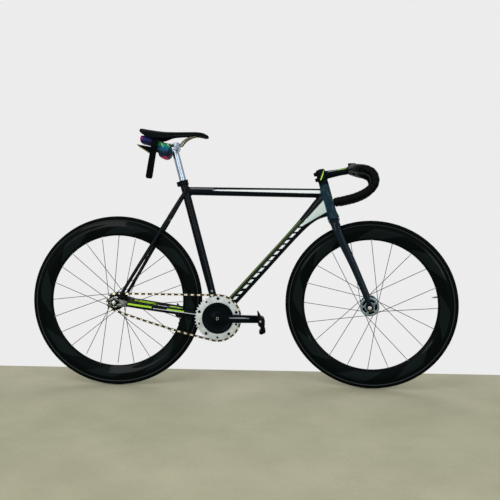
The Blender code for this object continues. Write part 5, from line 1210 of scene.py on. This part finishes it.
def build_pedal(side, word):
    """Clipless pedal body: narrow jaw in front, wide waist, sprung jaw behind."""
    near, on_pedal = CRANK_ARM_OUTER + 0.0006, "pedal_" + word
    body = plate(PEDAL_OUTLINE, [circle(PEDAL_SPINDLE_RADIUS + 0.0006, 28)],
                 *span(side, near, near + PEDAL_WIDTH))
    for vert in body.verts:
        share = (abs(vert.co.y) - near) / PEDAL_WIDTH - 0.5
        nose = max(0.0, vert.co.z - 0.012) / 0.022
        tail = max(0.0, -0.030 - vert.co.z) / 0.021
        vert.co.y -= side * share * PEDAL_WIDTH * (0.62 * nose + 0.35 * tail)
    matrix = CRANKS @ place(x=-side * CRANK_LENGTH)
    piece("pedal_body_" + word, bevelled(body, 0.0016, 3, 20.0), on_pedal,
          MOULDING, (on_pedal,), matrix)
    middle = side * (near + 0.5 * PEDAL_WIDTH)
    cap = block([(0.0168, -0.017), (0.0168, 0.004), (0.0176, 0.003), (0.0176, -0.016)],
                middle - 0.016, middle + 0.016)
    piece("pedal_plate_" + word, bevelled(cap, 0.0002, 1), on_pedal, STEEL,
          matrix=matrix)
    ends = span(side, CRANK_ARM_INNER + 0.001, CRANK_ARM_OUTER + PEDAL_WIDTH - 0.004)
    piece("pedal_pin_" + word, rod(PEDAL_SPINDLE_RADIUS, *ends, 28, ALONG_Y), "cranks",
          STEEL, ("pedal_spindle_" + word,), matrix)


def build_bracket():
    """Bearing cups with a lip on each face of the shell, and the crank spindle."""
    outer, inner, wide = BRACKET_BORE - GAP, 0.0116, BRACKET_RADIUS
    deep, lip = BRACKET_WIDTH / 2 - 0.016, BRACKET_WIDTH / 2 + GAP
    profile = [(inner, deep), (outer, deep), (outer, lip), (wide, lip), (wide, lip + 0.0031),
               (wide - 0.0005, lip + 0.0035), (inner + 0.0040, lip + 0.0035),
               (inner + 0.0036, lip + 0.0028), (inner, lip + 0.0028)]
    for side, word in SIDES:
        piece("bracket_cup_" + word, turned(profile, 64, True, OUTWARD[side]), "frame",
              STEEL, ("bottom_bracket_cup_" + word,), CRANKS)
    spindle = rod(CRANK_SPINDLE_RADIUS, -CHAIN_LINE - TOOTH_THICKNESS / 2, CRANK_ARM_INNER - GAP, 40,
                  ALONG_Y)
    piece("spindle", spindle, "cranks", STEEL, ("crank_spindle",), CRANKS)


# Cockpit
def fork_end_outline():
    """Forward-facing tab of the fork with a slot open below."""
    slot, x, z = FRONT_AXLE_RADIUS + GAP, FORK_RAKE, -FORK_LENGTH
    return ([(x + 0.0080, z + 0.038), (x - 0.0080, z + 0.038), (x - 0.0125, z + 0.004)]
            + arc(0.0068, 170.0, 250.0, 5, x - 0.006, z - 0.005) + [(x - slot, z - 0.0110)]
            + arc(slot, 180.0, 0.0, 15, x, z) + [(x + slot, z - 0.0110)]
            + arc(0.0068, -70.0, 10.0, 5, x + 0.006, z - 0.005) + [(x + 0.0125, z + 0.004)])


def build_fork():
    """Steerer, crown and blades welded into one, with separate slotted ends."""
    half, up = HEAD_TUBE_BASE_RADIUS, Vector((0.0, 0.0, 1.0))
    rows = spline([(-CROWN_HEIGHT, 1.46 * half, 0.70 * half),
                   (-0.60 * CROWN_HEIGHT, 1.48 * half, 0.86 * half),
                   (-0.25 * CROWN_HEIGHT, 1.15 * half, 0.97 * half),
                   (-0.0006, 0.97 * half, 0.97 * half)], 6)
    crown = skin(bmesh.new(), [oval(height * up, up, width, depth, 40, 2.2)
                               for height, width, depth in rows])
    parts, ends = [rod(STEERER_RADIUS, -0.004, STEM_TOP - 0.002, 40), crown], []
    inner = FRONT_SPACING / 2
    for side in (LEFT, RIGHT):
        stations = [(Vector((x, side * y, z)), width, depth) for x, y, z, width, depth in (
            (0.001, 0.0240, -0.010, 0.0150, 0.0330), (0.0020, 0.0325, -0.034, 0.0170, 0.0335),
            (0.0110, 0.0365, -0.107, 0.0160, 0.0300), (0.0260, 0.0440, -0.200, 0.0140, 0.0250),
            (FORK_RAKE + 0.001, inner + 0.0040, -FORK_LENGTH + 0.028, 0.0100, 0.0215))]
        parts.append(tube(stations, 36, 2.2))
        ends.append(bevelled(plate(fork_end_outline(), [],
                                   *span(side, inner, inner + DROPOUT_THICKNESS)), 0.0008))
    joint = (Vector((0.0, 0.0, -0.012)), 0.040)
    mesh = welded(merged(*parts), FORK_VOXEL, (4, 24), [joint])
    piece("fork_body", merged(mesh, *ends), "steering", FORK_PAINT, ("fork",),
          STEERING)


def build_headset():
    """Cover, lid and bolt on top, and the seal above the fork's crown."""
    base, wide, inner = HEAD_TUBE_TOP + GAP, HEAD_TUBE_TOP_RADIUS, STEERER_RADIUS + GAP
    top, neck = base + COVER_HEIGHT, STEERER_RADIUS + STEM_WALL
    cone = ([(inner, base), (wide - 0.0004, base), (wide, base + 0.0006), (wide, base + 0.0040)]
            + spline([(wide - 0.0004, base + 0.0048), (wide - 0.0004, base + 0.0100),
                      (neck, top - 0.0004)], 5) + [(neck - 0.0004, top), (inner, top)])
    piece("headset_cone", turned(cone, 72, True), "steering", BLACK,
          ("headset_cover",), STEERING)
    cap, wide = STEM_TOP + GAP, STEERER_RADIUS + 0.5 * STEM_WALL
    top = cap + TOP_CAP_THICKNESS
    lid = [(wide - 0.0004, cap), (wide, cap + 0.0005), (wide, cap + 0.6 * TOP_CAP_THICKNESS),
           (STEERER_RADIUS, top), (0.0060, top), (0.0056, top - 0.0010), (0.0, top - 0.0010)]
    piece("headset_lid", turned(lid, 56), "steering", BLACK, ("headset_top_cap",),
          STEERING)
    bolt = turned([(0.0044, cap + 0.0035), (0.0044, top + 0.0024), (0.0038, top + 0.0030),
                   (0.0022, top + 0.0030), (0.0022, top + 0.0008), (0.0, top + 0.0008)], 32)
    piece("headset_bolt", bolt, "steering", STEEL, matrix=STEERING, angle=40.0)
    seal = washer(LOWER_BEARING_RADIUS + GAP, 0.0229, 0.0001, 0.0008, 72)
    piece("crown_seal", seal, "steering", MOULDING, matrix=STEERING)


def build_stem():
    """Welded stem with split clamps, its faceplate, screws, painted lime lines and a painted
    highlight line.
    """
    outer, root = STEERER_RADIUS + STEM_WALL, Vector((0.0, 0.0, STEM_MIDDLE))
    clamp, half = BAR_CLAMP_RADIUS + STEM_WALL, STEM_WIDTH / 2
    arm = tube([(root, 0.036, 0.036), (root.lerp(BAR_CENTRE, 0.28), 0.031, 0.031),
                (root.lerp(BAR_CENTRE, 0.62), 0.029, 0.0265), (BAR_CENTRE, 0.036, 0.030)], 40, 2.6)
    across, front = (Matrix.Translation(BAR_CENTRE) @ way
                     for way in (ALONG_Y, turn(STEM_DROP, "Y")))
    heights = (STEM_MIDDLE - 0.29 * STEM_HEIGHT, STEM_MIDDLE + 0.29 * STEM_HEIGHT)
    ears = bmesh.new()
    for height in heights:
        prism(ears, [(-outer - 0.0085, height - 0.0062), (-outer + 0.0030, height - 0.0080),
                     (-outer + 0.0030, height + 0.0080), (-outer - 0.0085, height + 0.0062)],
              -0.0110, 0.0110)
    reach, low, high = 2 * clamp, STEM_BASE - 0.01, STEM_TOP + 0.01
    cuts = [rod(STEERER_RADIUS + GAP, low, high, 48),
            rod(BAR_CLAMP_RADIUS + GAP, -0.05, 0.05, 56, across),
            moved(block([(0.0020, -reach), (reach, -reach), (reach, reach), (0.0020, reach)],
                        -0.05, 0.05), front),
            block([(-outer - 0.020, low), (-outer + 0.010, low), (-outer + 0.010, high),
                   (-outer - 0.020, high)], -0.0010, 0.0010)]
    form = merged(rod(outer, STEM_BASE, STEM_TOP, 64), arm, rod(clamp, -half, half, 64, across),
                  ears)
    joints = [(root.lerp(BAR_CENTRE, 0.10), 0.040), (root.lerp(BAR_CENTRE, 0.88), 0.026)]
    mesh = welded(form, STEM_VOXEL, (3, 16), joints, cuts)
    piece("stem_body", mesh, "steering", BLACK, ("stem",), STEERING)
    edge = clamp + 0.0035
    outline = (arc(clamp, -72.0, 72.0, 25) + [(0.0070, edge), (0.0020 + GAP, edge)]
               + arc(BAR_CLAMP_RADIUS + GAP, 82.0, -82.0, 25)
               + [(0.0020 + GAP, -edge), (0.0070, -edge)])
    face = bevelled(plate(outline, [], -half, half), 0.0008, 2, 35.0)
    piece("stem_cap", moved(face, front), "steering", BLACK, ("stem_faceplate",),
          STEERING)
    bolts = bmesh.new()
    for y in (-0.0125, 0.0125):
        for z in (-clamp - 0.0005, clamp + 0.0005):
            head = [front @ Vector((x, y, z)) for x in (0.0040, 0.0098)]
            skin(bolts, swept(head, [0.0031, 0.0031], 16))
    for height, word in zip(heights, ("lower", "upper")):
        bolt = turned([(0.0025, -0.0105), (0.0025, 0.0110 + GAP), (0.0040, 0.0110 + GAP),
                       (0.0042, 0.0116), (0.0042, 0.0145), (0.0038, 0.0150), (0.0022, 0.0150),
                       (0.0022, 0.0130), (0.0, 0.0130)], 28)
        matrix = STEERING @ place(x=-outer - 0.0030, z=height) @ turn(math.pi / 2, "X")
        piece("stem_screw_" + word, bolt, "steering", BLACK, ("stem_bolt_" + word,),
              matrix, 40.0)
    piece("stem_cap_screws", bevelled(bolts, 0.0004, 1), "steering", BLACK,
          matrix=STEERING)
    band = bmesh.new()
    strip = [[(math.radians(-110.0 + 70.0 * i / 12) + math.radians(16.0) * (k / 6 - 0.5),
               STEM_BASE + 0.0035 + (STEM_HEIGHT - 0.007) * i / 12) for k in range(7)]
             for i in range(13)]
    close_sheet(band, *[[[band.verts.new((r * math.cos(a), r * math.sin(a), z)) for a, z in row]
                         for row in strip] for r in (outer + 0.0004, outer - 0.0004)])
    piece("stem_stripe", band, "steering", LIME_PAINT, matrix=STEERING)
    # The silver line along the arm's upper flank is a painted highlight; the lime one in front is
    # paint
    for name, low, high, y, finish in (("stem_highlight_line", 0.24, 0.56, -0.0141, POLISHED),
                                       ("stem_line_front", 0.57, 0.86, -0.0131, LIME_PAINT)):
        run = [root.lerp(BAR_CENTRE, low + (high - low) * k / 6) + Vector((0.0, y, 0.0092))
               for k in range(7)]
        piece(name, wire(run, 0.0013, 12), "steering", finish, matrix=STEERING)


BAR_SHAPE = (
    (0.0, 0.0, 0.0), (0.0, 0.14, 0.0), (0.0, 0.29, 0.0), (0.055, 0.50, -0.010), (0.17, 0.69, -0.024),
    (0.36, 0.855, -0.045), (0.64, 0.955, -0.085), (0.89, 0.99, -0.185), (1.0, 1.0, -0.37),
    (0.92, 1.0, -0.553), (0.667, 1.003, -0.712), (0.24, 1.005, -0.85), (-0.22, 1.01, -0.937),
    (-0.655, 1.013, -1.0))


def bar_path(side):
    """One half of the bar, from the stem out and down, from shares of reach, width and drop."""
    return [Vector(row) for row in spline(
        [(x * BAR_REACH, y * (side * BAR_HALF_WIDTH), z * BAR_DROP) for x, y, z in BAR_SHAPE],
        BAR_STEPS)]


def resampled(path, step):
    """Points at even distances along a path, with both ends kept, and those distances."""
    lengths = np.concatenate([[0.0], np.cumsum([(b - a).length for a, b in zip(path, path[1:])])])
    at = np.linspace(0.0, lengths[-1], max(2, int(round(lengths[-1] / step))) + 1)
    points = np.array(path)
    return [Vector([float(np.interp(s, lengths, points[:, k])) for k in range(3)]) for s in at], at


def build_handlebar():
    """Bar with a thick middle, and on each side ribbed tape, its finishing band and a plug."""
    path = bar_path(RIGHT)[::-1] + bar_path(LEFT)[1:]
    radii = []
    for point in path:
        share = min(1.0, max(0.0, (abs(point.y) - 0.033) / 0.025))
        ease = share * share * (3.0 - 2.0 * share)
        radii.append(BAR_CLAMP_RADIUS + (BAR_RADIUS - BAR_CLAMP_RADIUS) * ease)
    piece("bar", skin(bmesh.new(), swept(path, radii, 36)), "steering", BLACK,
          ("handlebar",), BAR_AXES)
    for side, word in SIDES:
        whole, at = resampled(bar_path(side)[TAPE_START * BAR_STEPS:], 0.0011)

        def ridge(i, a, at=at):
            share = (at[i] / TAPE_PITCH + a / (2 * math.pi)) % 1.0
            return TAPE_RIDGE * (1.9 * share * min(1.0, (1.0 - share) / 0.08) - 0.7)

        radii = [BAR_RADIUS + TAPE_THICKNESS - 0.0026 * max(0.0, 1.0 - i / 6)
                 for i in range(len(whole))]
        inside = swept(whole, [BAR_RADIUS + GAP] * len(whole), 40)
        form = skin(bmesh.new(), swept(whole, radii, 40, ridge) + inside[::-1], True)
        piece("bar_wrap_" + word, form, "steering", TAPE, ("bar_tape_" + word,),
              BAR_AXES, 50.0)
        ways = headings(whole)
        ends = [whole[0] - 0.004 * ways[0], whole[0] + 0.009 * ways[0]]
        band = wire(ends, BAR_RADIUS + 0.0022, 40)
        piece("tape_finish_" + word, bevelled(band, 0.0004, 1), "steering",
              MOULDING, matrix=BAR_AXES)
        cap = turned([(0.0130, GAP), (0.0139, 0.0008), (0.0140, 0.0020), (0.0132, 0.0036),
                      (0.0105, 0.0050), (0.0060, 0.0054), (0.0, 0.0055)], 40)
        piece("bar_end_" + word, cap, "steering", MOULDING, ("bar_plug_" + word,),
              BAR_AXES @ facing(ways[-1], whole[-1]))


def build_light_mount():
    """Small clamp on the bar's top, left of the stem, with an empty quick-release shoe."""
    y = 0.040
    grip = washer(0.0146, 0.0171, -0.0065, 0.0065, 48, place(y=y) @ ALONG_Y)
    shoe = block([(-0.0120, 0.0160), (0.0110, 0.0160), (0.0150, 0.0220), (0.0130, 0.0290),
                  (-0.0150, 0.0290), (-0.0180, 0.0235)], y - 0.0080, y + 0.0080)
    piece("accessory_clamp", merged(bevelled(grip, 0.0006, 1), bevelled(shoe, 0.0010)), "steering",
          MOULDING, matrix=BAR_AXES)


# Seat
def rail_path():
    """One rail forward from the tail, across the nose and back along the other."""
    shape = ((-0.390, 1.0, 0.820), (-0.328, 1.0, 0.664), (-0.236, 1.0, 0.419), (-0.098, 1.0, 0.182),
             (0.082, 1.0, 0.160), (0.126, 0.93, 0.327), (0.175, 0.72, 0.524), (0.245, 0.43, 0.680),
             (0.296, 0.32, 0.736), (0.322, 0.0, 0.750))
    half = [Vector((x * SADDLE_LENGTH, -y * RAIL_SPREAD, z * SADDLE_HEIGHT)) for x, y, z in shape]
    return half + [Vector((p.x, -p.y, p.z)) for p in half[-2::-1]]


def build_post():
    """Seatpost with its welded head, and the clamp that holds the rails."""
    neck_top = POST_EXPOSED - 0.010
    throat = turned(spline([(POST_RADIUS, neck_top - 0.018), (0.0128, neck_top - 0.010),
                            (0.0108, neck_top)], 5), 56)
    half = RAIL_SPREAD - RAIL_RADIUS - 0.0025
    head = rod(POST_HEAD_RADIUS, -half, half, 56, place(x=CLAMP_OFFSET) @ ALONG_Y)
    neck = block([(-0.0100, -0.0180), (0.0080, -0.0150), (CLAMP_OFFSET + 0.0060, 0.0060),
                  (CLAMP_OFFSET - 0.0070, 0.0080)], -0.72 * half, 0.72 * half)
    form = merged(throat, moved(head, TO_SADDLE), moved(bevelled(neck, 0.003, 3), TO_SADDLE))
    joint = (TO_SADDLE @ Vector((CLAMP_OFFSET, 0.0, -0.008)), 0.024)
    mesh = welded(form, POST_VOXEL, (3, 14), [joint])
    post = merged(mesh, rod(POST_RADIUS, -0.120, neck_top - 0.018, 56))
    piece("post", post, "seat", POLISHED, ("seatpost",), POST_AXES)
    cheeks = bmesh.new()
    low, high = -0.0120, RAIL_RADIUS + 0.0135
    outline = [(-0.0066, low), (0.0066, low), (0.0095, 0.0), (0.0110, high - 0.003), (0.0085, high),
               (-0.0085, high), (-0.0110, high - 0.003), (-0.0095, 0.0)]
    for side in (LEFT, RIGHT):
        prism(cheeks, outline, *span(side, half + GAP, half + GAP + 0.0120))
    bolt = rod(CLAMP_BOLT_RADIUS, -half - 0.016, half + 0.016, 28, ALONG_Y)
    nuts = [rod(0.0062, middle - 0.0015, middle + 0.0030, 32, ALONG_Y)
            for middle in (half + 0.0125, -half - 0.0125)]
    form = merged(bevelled(cheeks, 0.0012), bevelled(bolt, 0.0006, 1), *nuts)
    piece("rail_clamp", form, "seat", CLAMP, ("saddle_clamp",),
          SADDLE_AXES @ place(x=CLAMP_OFFSET))


# Share of the length, half width as a share of the full one, crown and skirt heights
SADDLE_SECTIONS = (
    (0.035, 0.36, 0.0095, -0.0055), (0.055, 0.43, 0.0092, -0.0120), (0.09, 0.48, 0.0078, -0.0190),
    (0.18, 0.50, 0.0036, -0.0300), (0.34, 0.405, -0.0003, -0.0290), (0.48, 0.262, -0.0003, -0.0190),
    (0.63, 0.182, 0.0008, -0.0160), (0.81, 0.149, 0.0020, -0.0150), (0.905, 0.141, -0.0005, -0.0185),
    (0.965, 0.114, -0.0068, -0.0220), (1.00, 0.055, -0.0130, -0.0205))


def saddle_sheet(sections, drop, thickness, shrink, crowned=False):
    """A bent closed sheet this far under the saddle's surface; crowned adds pads and a groove."""
    form = bmesh.new()
    grids = []
    for under in (0.0, 1.0):
        lines = []
        for share, width, crown, skirt in spline(sections, 6):
            half = width * SADDLE_WIDTH - shrink - under * SADDLE_TUCK
            line = []
            for i in range(33):
                c = math.cos(math.pi * i / 32)
                y = half * c * (1.0 - 0.06 * abs(c) ** 8)
                z = crown - (crown - skirt) * abs(c) ** 3
                z -= (drop + under * thickness) * (1.0 - c ** 4)
                if crowned and not under:
                    pad = math.exp(-((abs(y) - 0.030) / 0.018) ** 2)
                    seat = math.exp(-((share - 0.20) / 0.16) ** 2)
                    groove = math.exp(-(y / 0.008) ** 2) * seat * (1.0 - abs(c) ** 10)
                    z += 0.0016 * pad * seat - 0.0022 * groove
                line.append(form.verts.new((SADDLE_SETBACK + SADDLE_LENGTH * (share - 0.5), y,
                                            SADDLE_HEIGHT + z)))
            lines.append(line)
        grids.append(lines)
    close_sheet(form, *grids)
    return form


def build_saddle():
    """Padded cover, shell with the rails' sockets, and the rails."""
    cushion = saddle_sheet(SADDLE_SECTIONS, 0.0, CUSHION_THICKNESS, 0.0, True)
    cover = piece("saddle_pad", bevelled(cushion, 0.0011, 3, 40.0), "seat", COVER,
                  ("saddle_cushion",), SADDLE_AXES, 60.0)
    shell = saddle_sheet(SADDLE_SECTIONS[1:-1], CUSHION_THICKNESS + GAP, SHELL_THICKNESS, 0.0028)
    sockets, route = bmesh.new(), rail_path()
    rear, bend = route[0], route[9]
    top, size = SADDLE_HEIGHT - CUSHION_THICKNESS - SHELL_THICKNESS, RAIL_RADIUS + 0.0016
    for side in (LEFT, RIGHT):
        prism(sockets, [(rear.x - 0.0085, rear.z), (rear.x - 0.0031, rear.z - size),
                        (rear.x - 0.0031, top + 0.0050), (rear.x - 0.0085, top + 0.0060)],
              *span(side, RAIL_SPREAD - size, RAIL_SPREAD + size))
    front = bend.x + RAIL_RADIUS + GAP
    prism(sockets, [(front, bend.z - size), (front + 0.0060, bend.z), (front + 0.0060, top - 0.0010),
                    (front, top - 0.0005)], -0.0060, 0.0060)
    piece("saddle_base", merged(shell, bevelled(sockets, 0.0008)), "seat",
          MOULDING, ("saddle_shell",), SADDLE_AXES, 50.0)
    path = [Vector(row) for row in spline(route, 6)]
    piece("rails", wire(path, RAIL_RADIUS, 20), "seat", RAIL, ("saddle_rails",),
          SADDLE_AXES)


# Top and bottom of the bag along its length, in shares of its size, and its half width
BAG_ROWS = (
    (0.030, 0.380, 0.030, 0.190, 0.30), (0.070, 0.440, 0.055, 0.140, 0.43),
    (0.190, 0.440, 0.165, 0.105, 0.48), (0.370, 0.400, 0.340, 0.045, 0.49),
    (0.410, 0.360, 0.375, 0.030, 0.47), (0.610, 0.210, 0.560, -0.105, 0.45),
    (0.650, 0.205, 0.590, -0.250, 0.47), (0.760, 0.200, 0.650, -0.380, 0.49),
    (0.930, 0.125, 0.810, -0.475, 0.49), (1.010, -0.020, 0.940, -0.420, 0.43),
    (1.025, -0.150, 0.995, -0.310, 0.30))


def build_bag():
    """Soft bag with two full lobes, creased where the strap draws it in, and its piping."""
    rings = []
    for top_x, top_z, low_x, low_z, width in spline(BAG_ROWS, 7):
        top = Vector((BAG_START + top_x * BAG_LENGTH, 0.0, top_z * BAG_DEPTH))
        low = Vector((BAG_START + low_x * BAG_LENGTH, 0.0, low_z * BAG_DEPTH))
        middle, up = (top + low) / 2, (top - low) / 2
        ring = []
        for angle in around(64):
            c, s = squared(angle, 0.8)
            point = middle + up * s + Vector((0.0, width * BAG_WIDTH * c, 0.0))
            crease = noise.noise(point * 60.0) * 0.6 + noise.noise(point * 150.0) * 0.3
            away = point - middle
            ring.append(middle + away * (1.0 + (0.0013 * crease - 0.0012) / max(away.length, 0.004)))
        rings.append(ring)
    form = bevelled(skin(bmesh.new(), rings), 0.0030, 3, 40.0)
    piece("bag_body", form, "seat", BAG, ("saddle_bag",), SADDLE_AXES, 60.0)
    seams = bmesh.new()
    for index in (9, 23, 47, 61):
        ring = rings[index]
        centre = sum(ring, Vector()) / len(ring)
        path = [centre + (p - centre) * 1.004 for p in ring[::2] + ring[:1]]
        skin(seams, swept(path, [0.0008] * len(path), 8))
    piece("bag_piping", seams, "seat", WEBBING, matrix=SADDLE_AXES)


def build_strap():
    """Strap round the bag's waist with its hanging end, pulled blade, lining and buckle."""
    half_y, half_z = 0.50 * BAG_WIDTH, STRAP_LOOP_HEIGHT / 2
    loop = [squared(angle, 0.6) for angle in around(96)]
    rings = [[Vector((x * STRAP_WIDTH, (half_y + thick) * y, (half_z + thick) * z)) for y, z in loop]
             for thick, x in ((0.0, -0.5), (STRAP_THICKNESS, -0.5), (STRAP_THICKNESS, 0.5),
                              (0.0, 0.5))]
    matrix = (SADDLE_AXES @ place(BAG_START + STRAP_PLACE * BAG_LENGTH, 0.0, STRAP_MIDDLE)
              @ turn(math.radians(STRAP_LEAN), "Y"))
    side, low = -half_y - STRAP_THICKNESS, -half_z - STRAP_THICKNESS
    tail, grids = bmesh.new(), ([], [])
    for i in range(29):
        t = i / 28
        wave = 0.0007 * math.sin(t * 9.0) * t - 0.0004
        half = 0.5 * STRAP_WIDTH * (1.0 + 0.12 * t)
        if t > 0.93:
            half *= math.sqrt(max(0.05, 1.0 - ((t - 0.93) / 0.075) ** 2 * 0.6))
        for grid, y in zip(grids, (side + wave - 0.0002, side + wave + STRAP_THICKNESS - 0.0002)):
            grid.append([tail.verts.new((-half + 2 * half * k / 8, y, -t * STRAP_TAIL))
                         for k in range(9)])
    close_sheet(tail, *grids)
    near, far = -0.0330, -0.0090
    blade = block([(0.0, low - 0.0180), (-0.0214, low - 0.0100), (-0.0448, low + 0.0005),
                   (-0.0700, low + 0.0108), (-0.0712, low + 0.0127), (-0.0420, low + 0.0126),
                   (-0.0120, low + 0.0122)], near, far)
    lining = block([(-0.0040, low - 0.0190), (-0.0214, low - 0.0125), (-0.0448, low - 0.0020),
                    (-0.0640, low + 0.0062), (-0.0640, low + 0.0090), (-0.0448, low + 0.0010),
                    (-0.0214, low - 0.0090), (-0.0040, low - 0.0155)], near - 0.0004, far - 0.0010)
    piece("strap_lining", lining, "seat", OLIVE, matrix=matrix)
    form = merged(skin(bmesh.new(), rings, True), tail, bevelled(blade, 0.0006))
    piece("strap", form, "seat", WEBBING, ("bag_strap",), matrix, 40.0)
    frame_of = [[(-x, high), (x, high), (x, base), (-x, base)] for x, high, base in (
        (0.0150, 0.0080, -0.0080), (0.0120, 0.0050, 0.0015), (0.0120, -0.0015, -0.0050))]
    buckle = bevelled(plate(frame_of[0], frame_of[1:], side - 0.0016, side - 0.0002), 0.0006)
    piece("strap_buckle", moved(buckle, place(z=-0.010)), "seat", MOULDING,
          matrix=matrix)


# Stage
def build_stage():
    """Pale mottled floor, a little darker near the camera."""
    f = Finish("concrete", (0.46, 0.44, 0.39), 0.85)
    cloud = f.noise(3.2, 6.0, 0.62).ramp(0.35, 0.7)
    near = cloud.mix((0.275, 0.270, 0.178), (0.350, 0.340, 0.232))
    away = cloud.mix((0.385, 0.375, 0.255), (0.470, 0.455, 0.322))
    base = f.axes("Y")[0].ramp(-1.5, 0.25).mix(near, away)
    speck = f.noise(160.0, 4.0, 0.7).ramp(0.4, 0.65) * 0.25
    f.put("Base Color", speck.mix(base, (0.25, 0.24, 0.165)))
    mesh = bpy.data.meshes.new("floor")
    corners = ((-4.0, -4.5), (5.0, -4.5), (5.0, FLOOR_EDGE), (-4.0, FLOOR_EDGE))
    mesh.from_pydata([(x, y, FLOOR_HEIGHT) for x, y in corners], [], [(0, 1, 2, 3)])
    mesh.materials.append(f.bumped(f.noise(220.0, 5.0, 0.7), 0.0006, 0.5))
    floor = added("floor", mesh)


def build_light():
    """White surroundings that look brighter than they light, and five soft lamps."""
    world = bpy.data.worlds.new("studio")
    bpy.context.scene.world = world
    world.use_nodes = True
    nodes, links = world.node_tree.nodes, world.node_tree.links
    nodes["Background"].inputs["Color"].default_value = (1.0, 1.0, 1.0, 1.0)
    path = nodes.new("ShaderNodeLightPath")
    seen = path.outputs["Is Camera Ray"]
    for ray in ("Is Transmission Ray", "Is Glossy Ray"):
        either = nodes.new("ShaderNodeMath")
        either.operation = "MAXIMUM"
        links.new(seen, either.inputs[0])
        links.new(path.outputs[ray], either.inputs[1])
        seen = either.outputs[0]
    strength = nodes.new("ShaderNodeMapRange")
    strength.inputs["To Min"].default_value = LIT_STRENGTH
    strength.inputs["To Max"].default_value = SEEN_STRENGTH
    links.new(seen, strength.inputs["Value"])
    links.new(strength.outputs[0], nodes["Background"].inputs["Strength"])
    for name, energy, width, height, spot, aim in (
            ("key", 28.0, 1.5, 1.5, (-0.8, -2.4, 2.9), (0.5, 0.0, 0.5)),
            ("fill", 6.0, 2.0, 2.0, (2.6, -1.9, 1.7), (0.6, 0.0, 0.5)),
            ("strip_right", 26.0, 0.42, 2.0, (1.75, -2.6, 1.25), (0.6, 0.0, 0.6)),
            ("strip_left", 26.0, 0.42, 2.0, (-0.75, -2.6, 1.25), (0.4, 0.0, 0.6)),
            ("back", 16.0, 2.0, 2.0, (0.6, 2.6, 2.3), (0.5, 0.0, 0.6))):
        light = bpy.data.lights.new(name, "AREA")
        light.energy, light.shape, light.size, light.size_y = energy, "RECTANGLE", width, height
        lamp = added(name, light)
        lamp.location = spot
        lamp.rotation_euler = (Vector(aim) - Vector(spot)).to_track_quat("-Z", "Y").to_euler()


def build_camera():
    """The photo's view, with the plain Standard transform."""
    data = bpy.data.cameras.new("camera")
    data.sensor_fit, data.sensor_width = "HORIZONTAL", SENSOR_WIDTH
    data.lens = FOCAL_LENGTH * SENSOR_WIDTH / PHOTO_WIDTH
    data.clip_start, data.clip_end = 0.05, 60.0
    camera = added("camera", data)
    matrix = place(*CAMERA_SPOT)
    for degrees, axis in CAMERA_TURNS + ((90.0, "X"),):
        matrix = matrix @ turn(math.radians(degrees), axis)
    camera.matrix_world = matrix
    bpy.context.scene.camera = camera
    bpy.context.scene.view_settings.view_transform = "Standard"


build_camera()
build_frame()
build_frame_fittings()
build_wheel("front", FRONT_HUB, FRONT_SPACING, FRONT_SPOKES, FRONT_FLANGE_RADIUS, FRONT_AXLE_RADIUS)
build_wheel("rear", REAR_HUB, REAR_SPACING, REAR_SPOKES, REAR_FLANGE_RADIUS, REAR_AXLE_RADIUS,
            CARRIER_RADIUS)
build_axle("front", "steering", FRONT_HUB, FRONT_SPACING, FRONT_AXLE_RADIUS)
build_axle("rear", "frame", REAR_HUB, REAR_SPACING, REAR_AXLE_RADIUS)
build_chain()
build_cog()
build_chainring()
build_bracket()
for hand, label in SIDES:
    build_crank(hand, label)
    build_pedal(hand, label)
build_fork()
build_headset()
build_stem()
build_handlebar()
build_light_mount()
build_post()
build_saddle()
build_bag()
build_strap()
build_stage()
build_light()
bpy.context.view_layer.update()
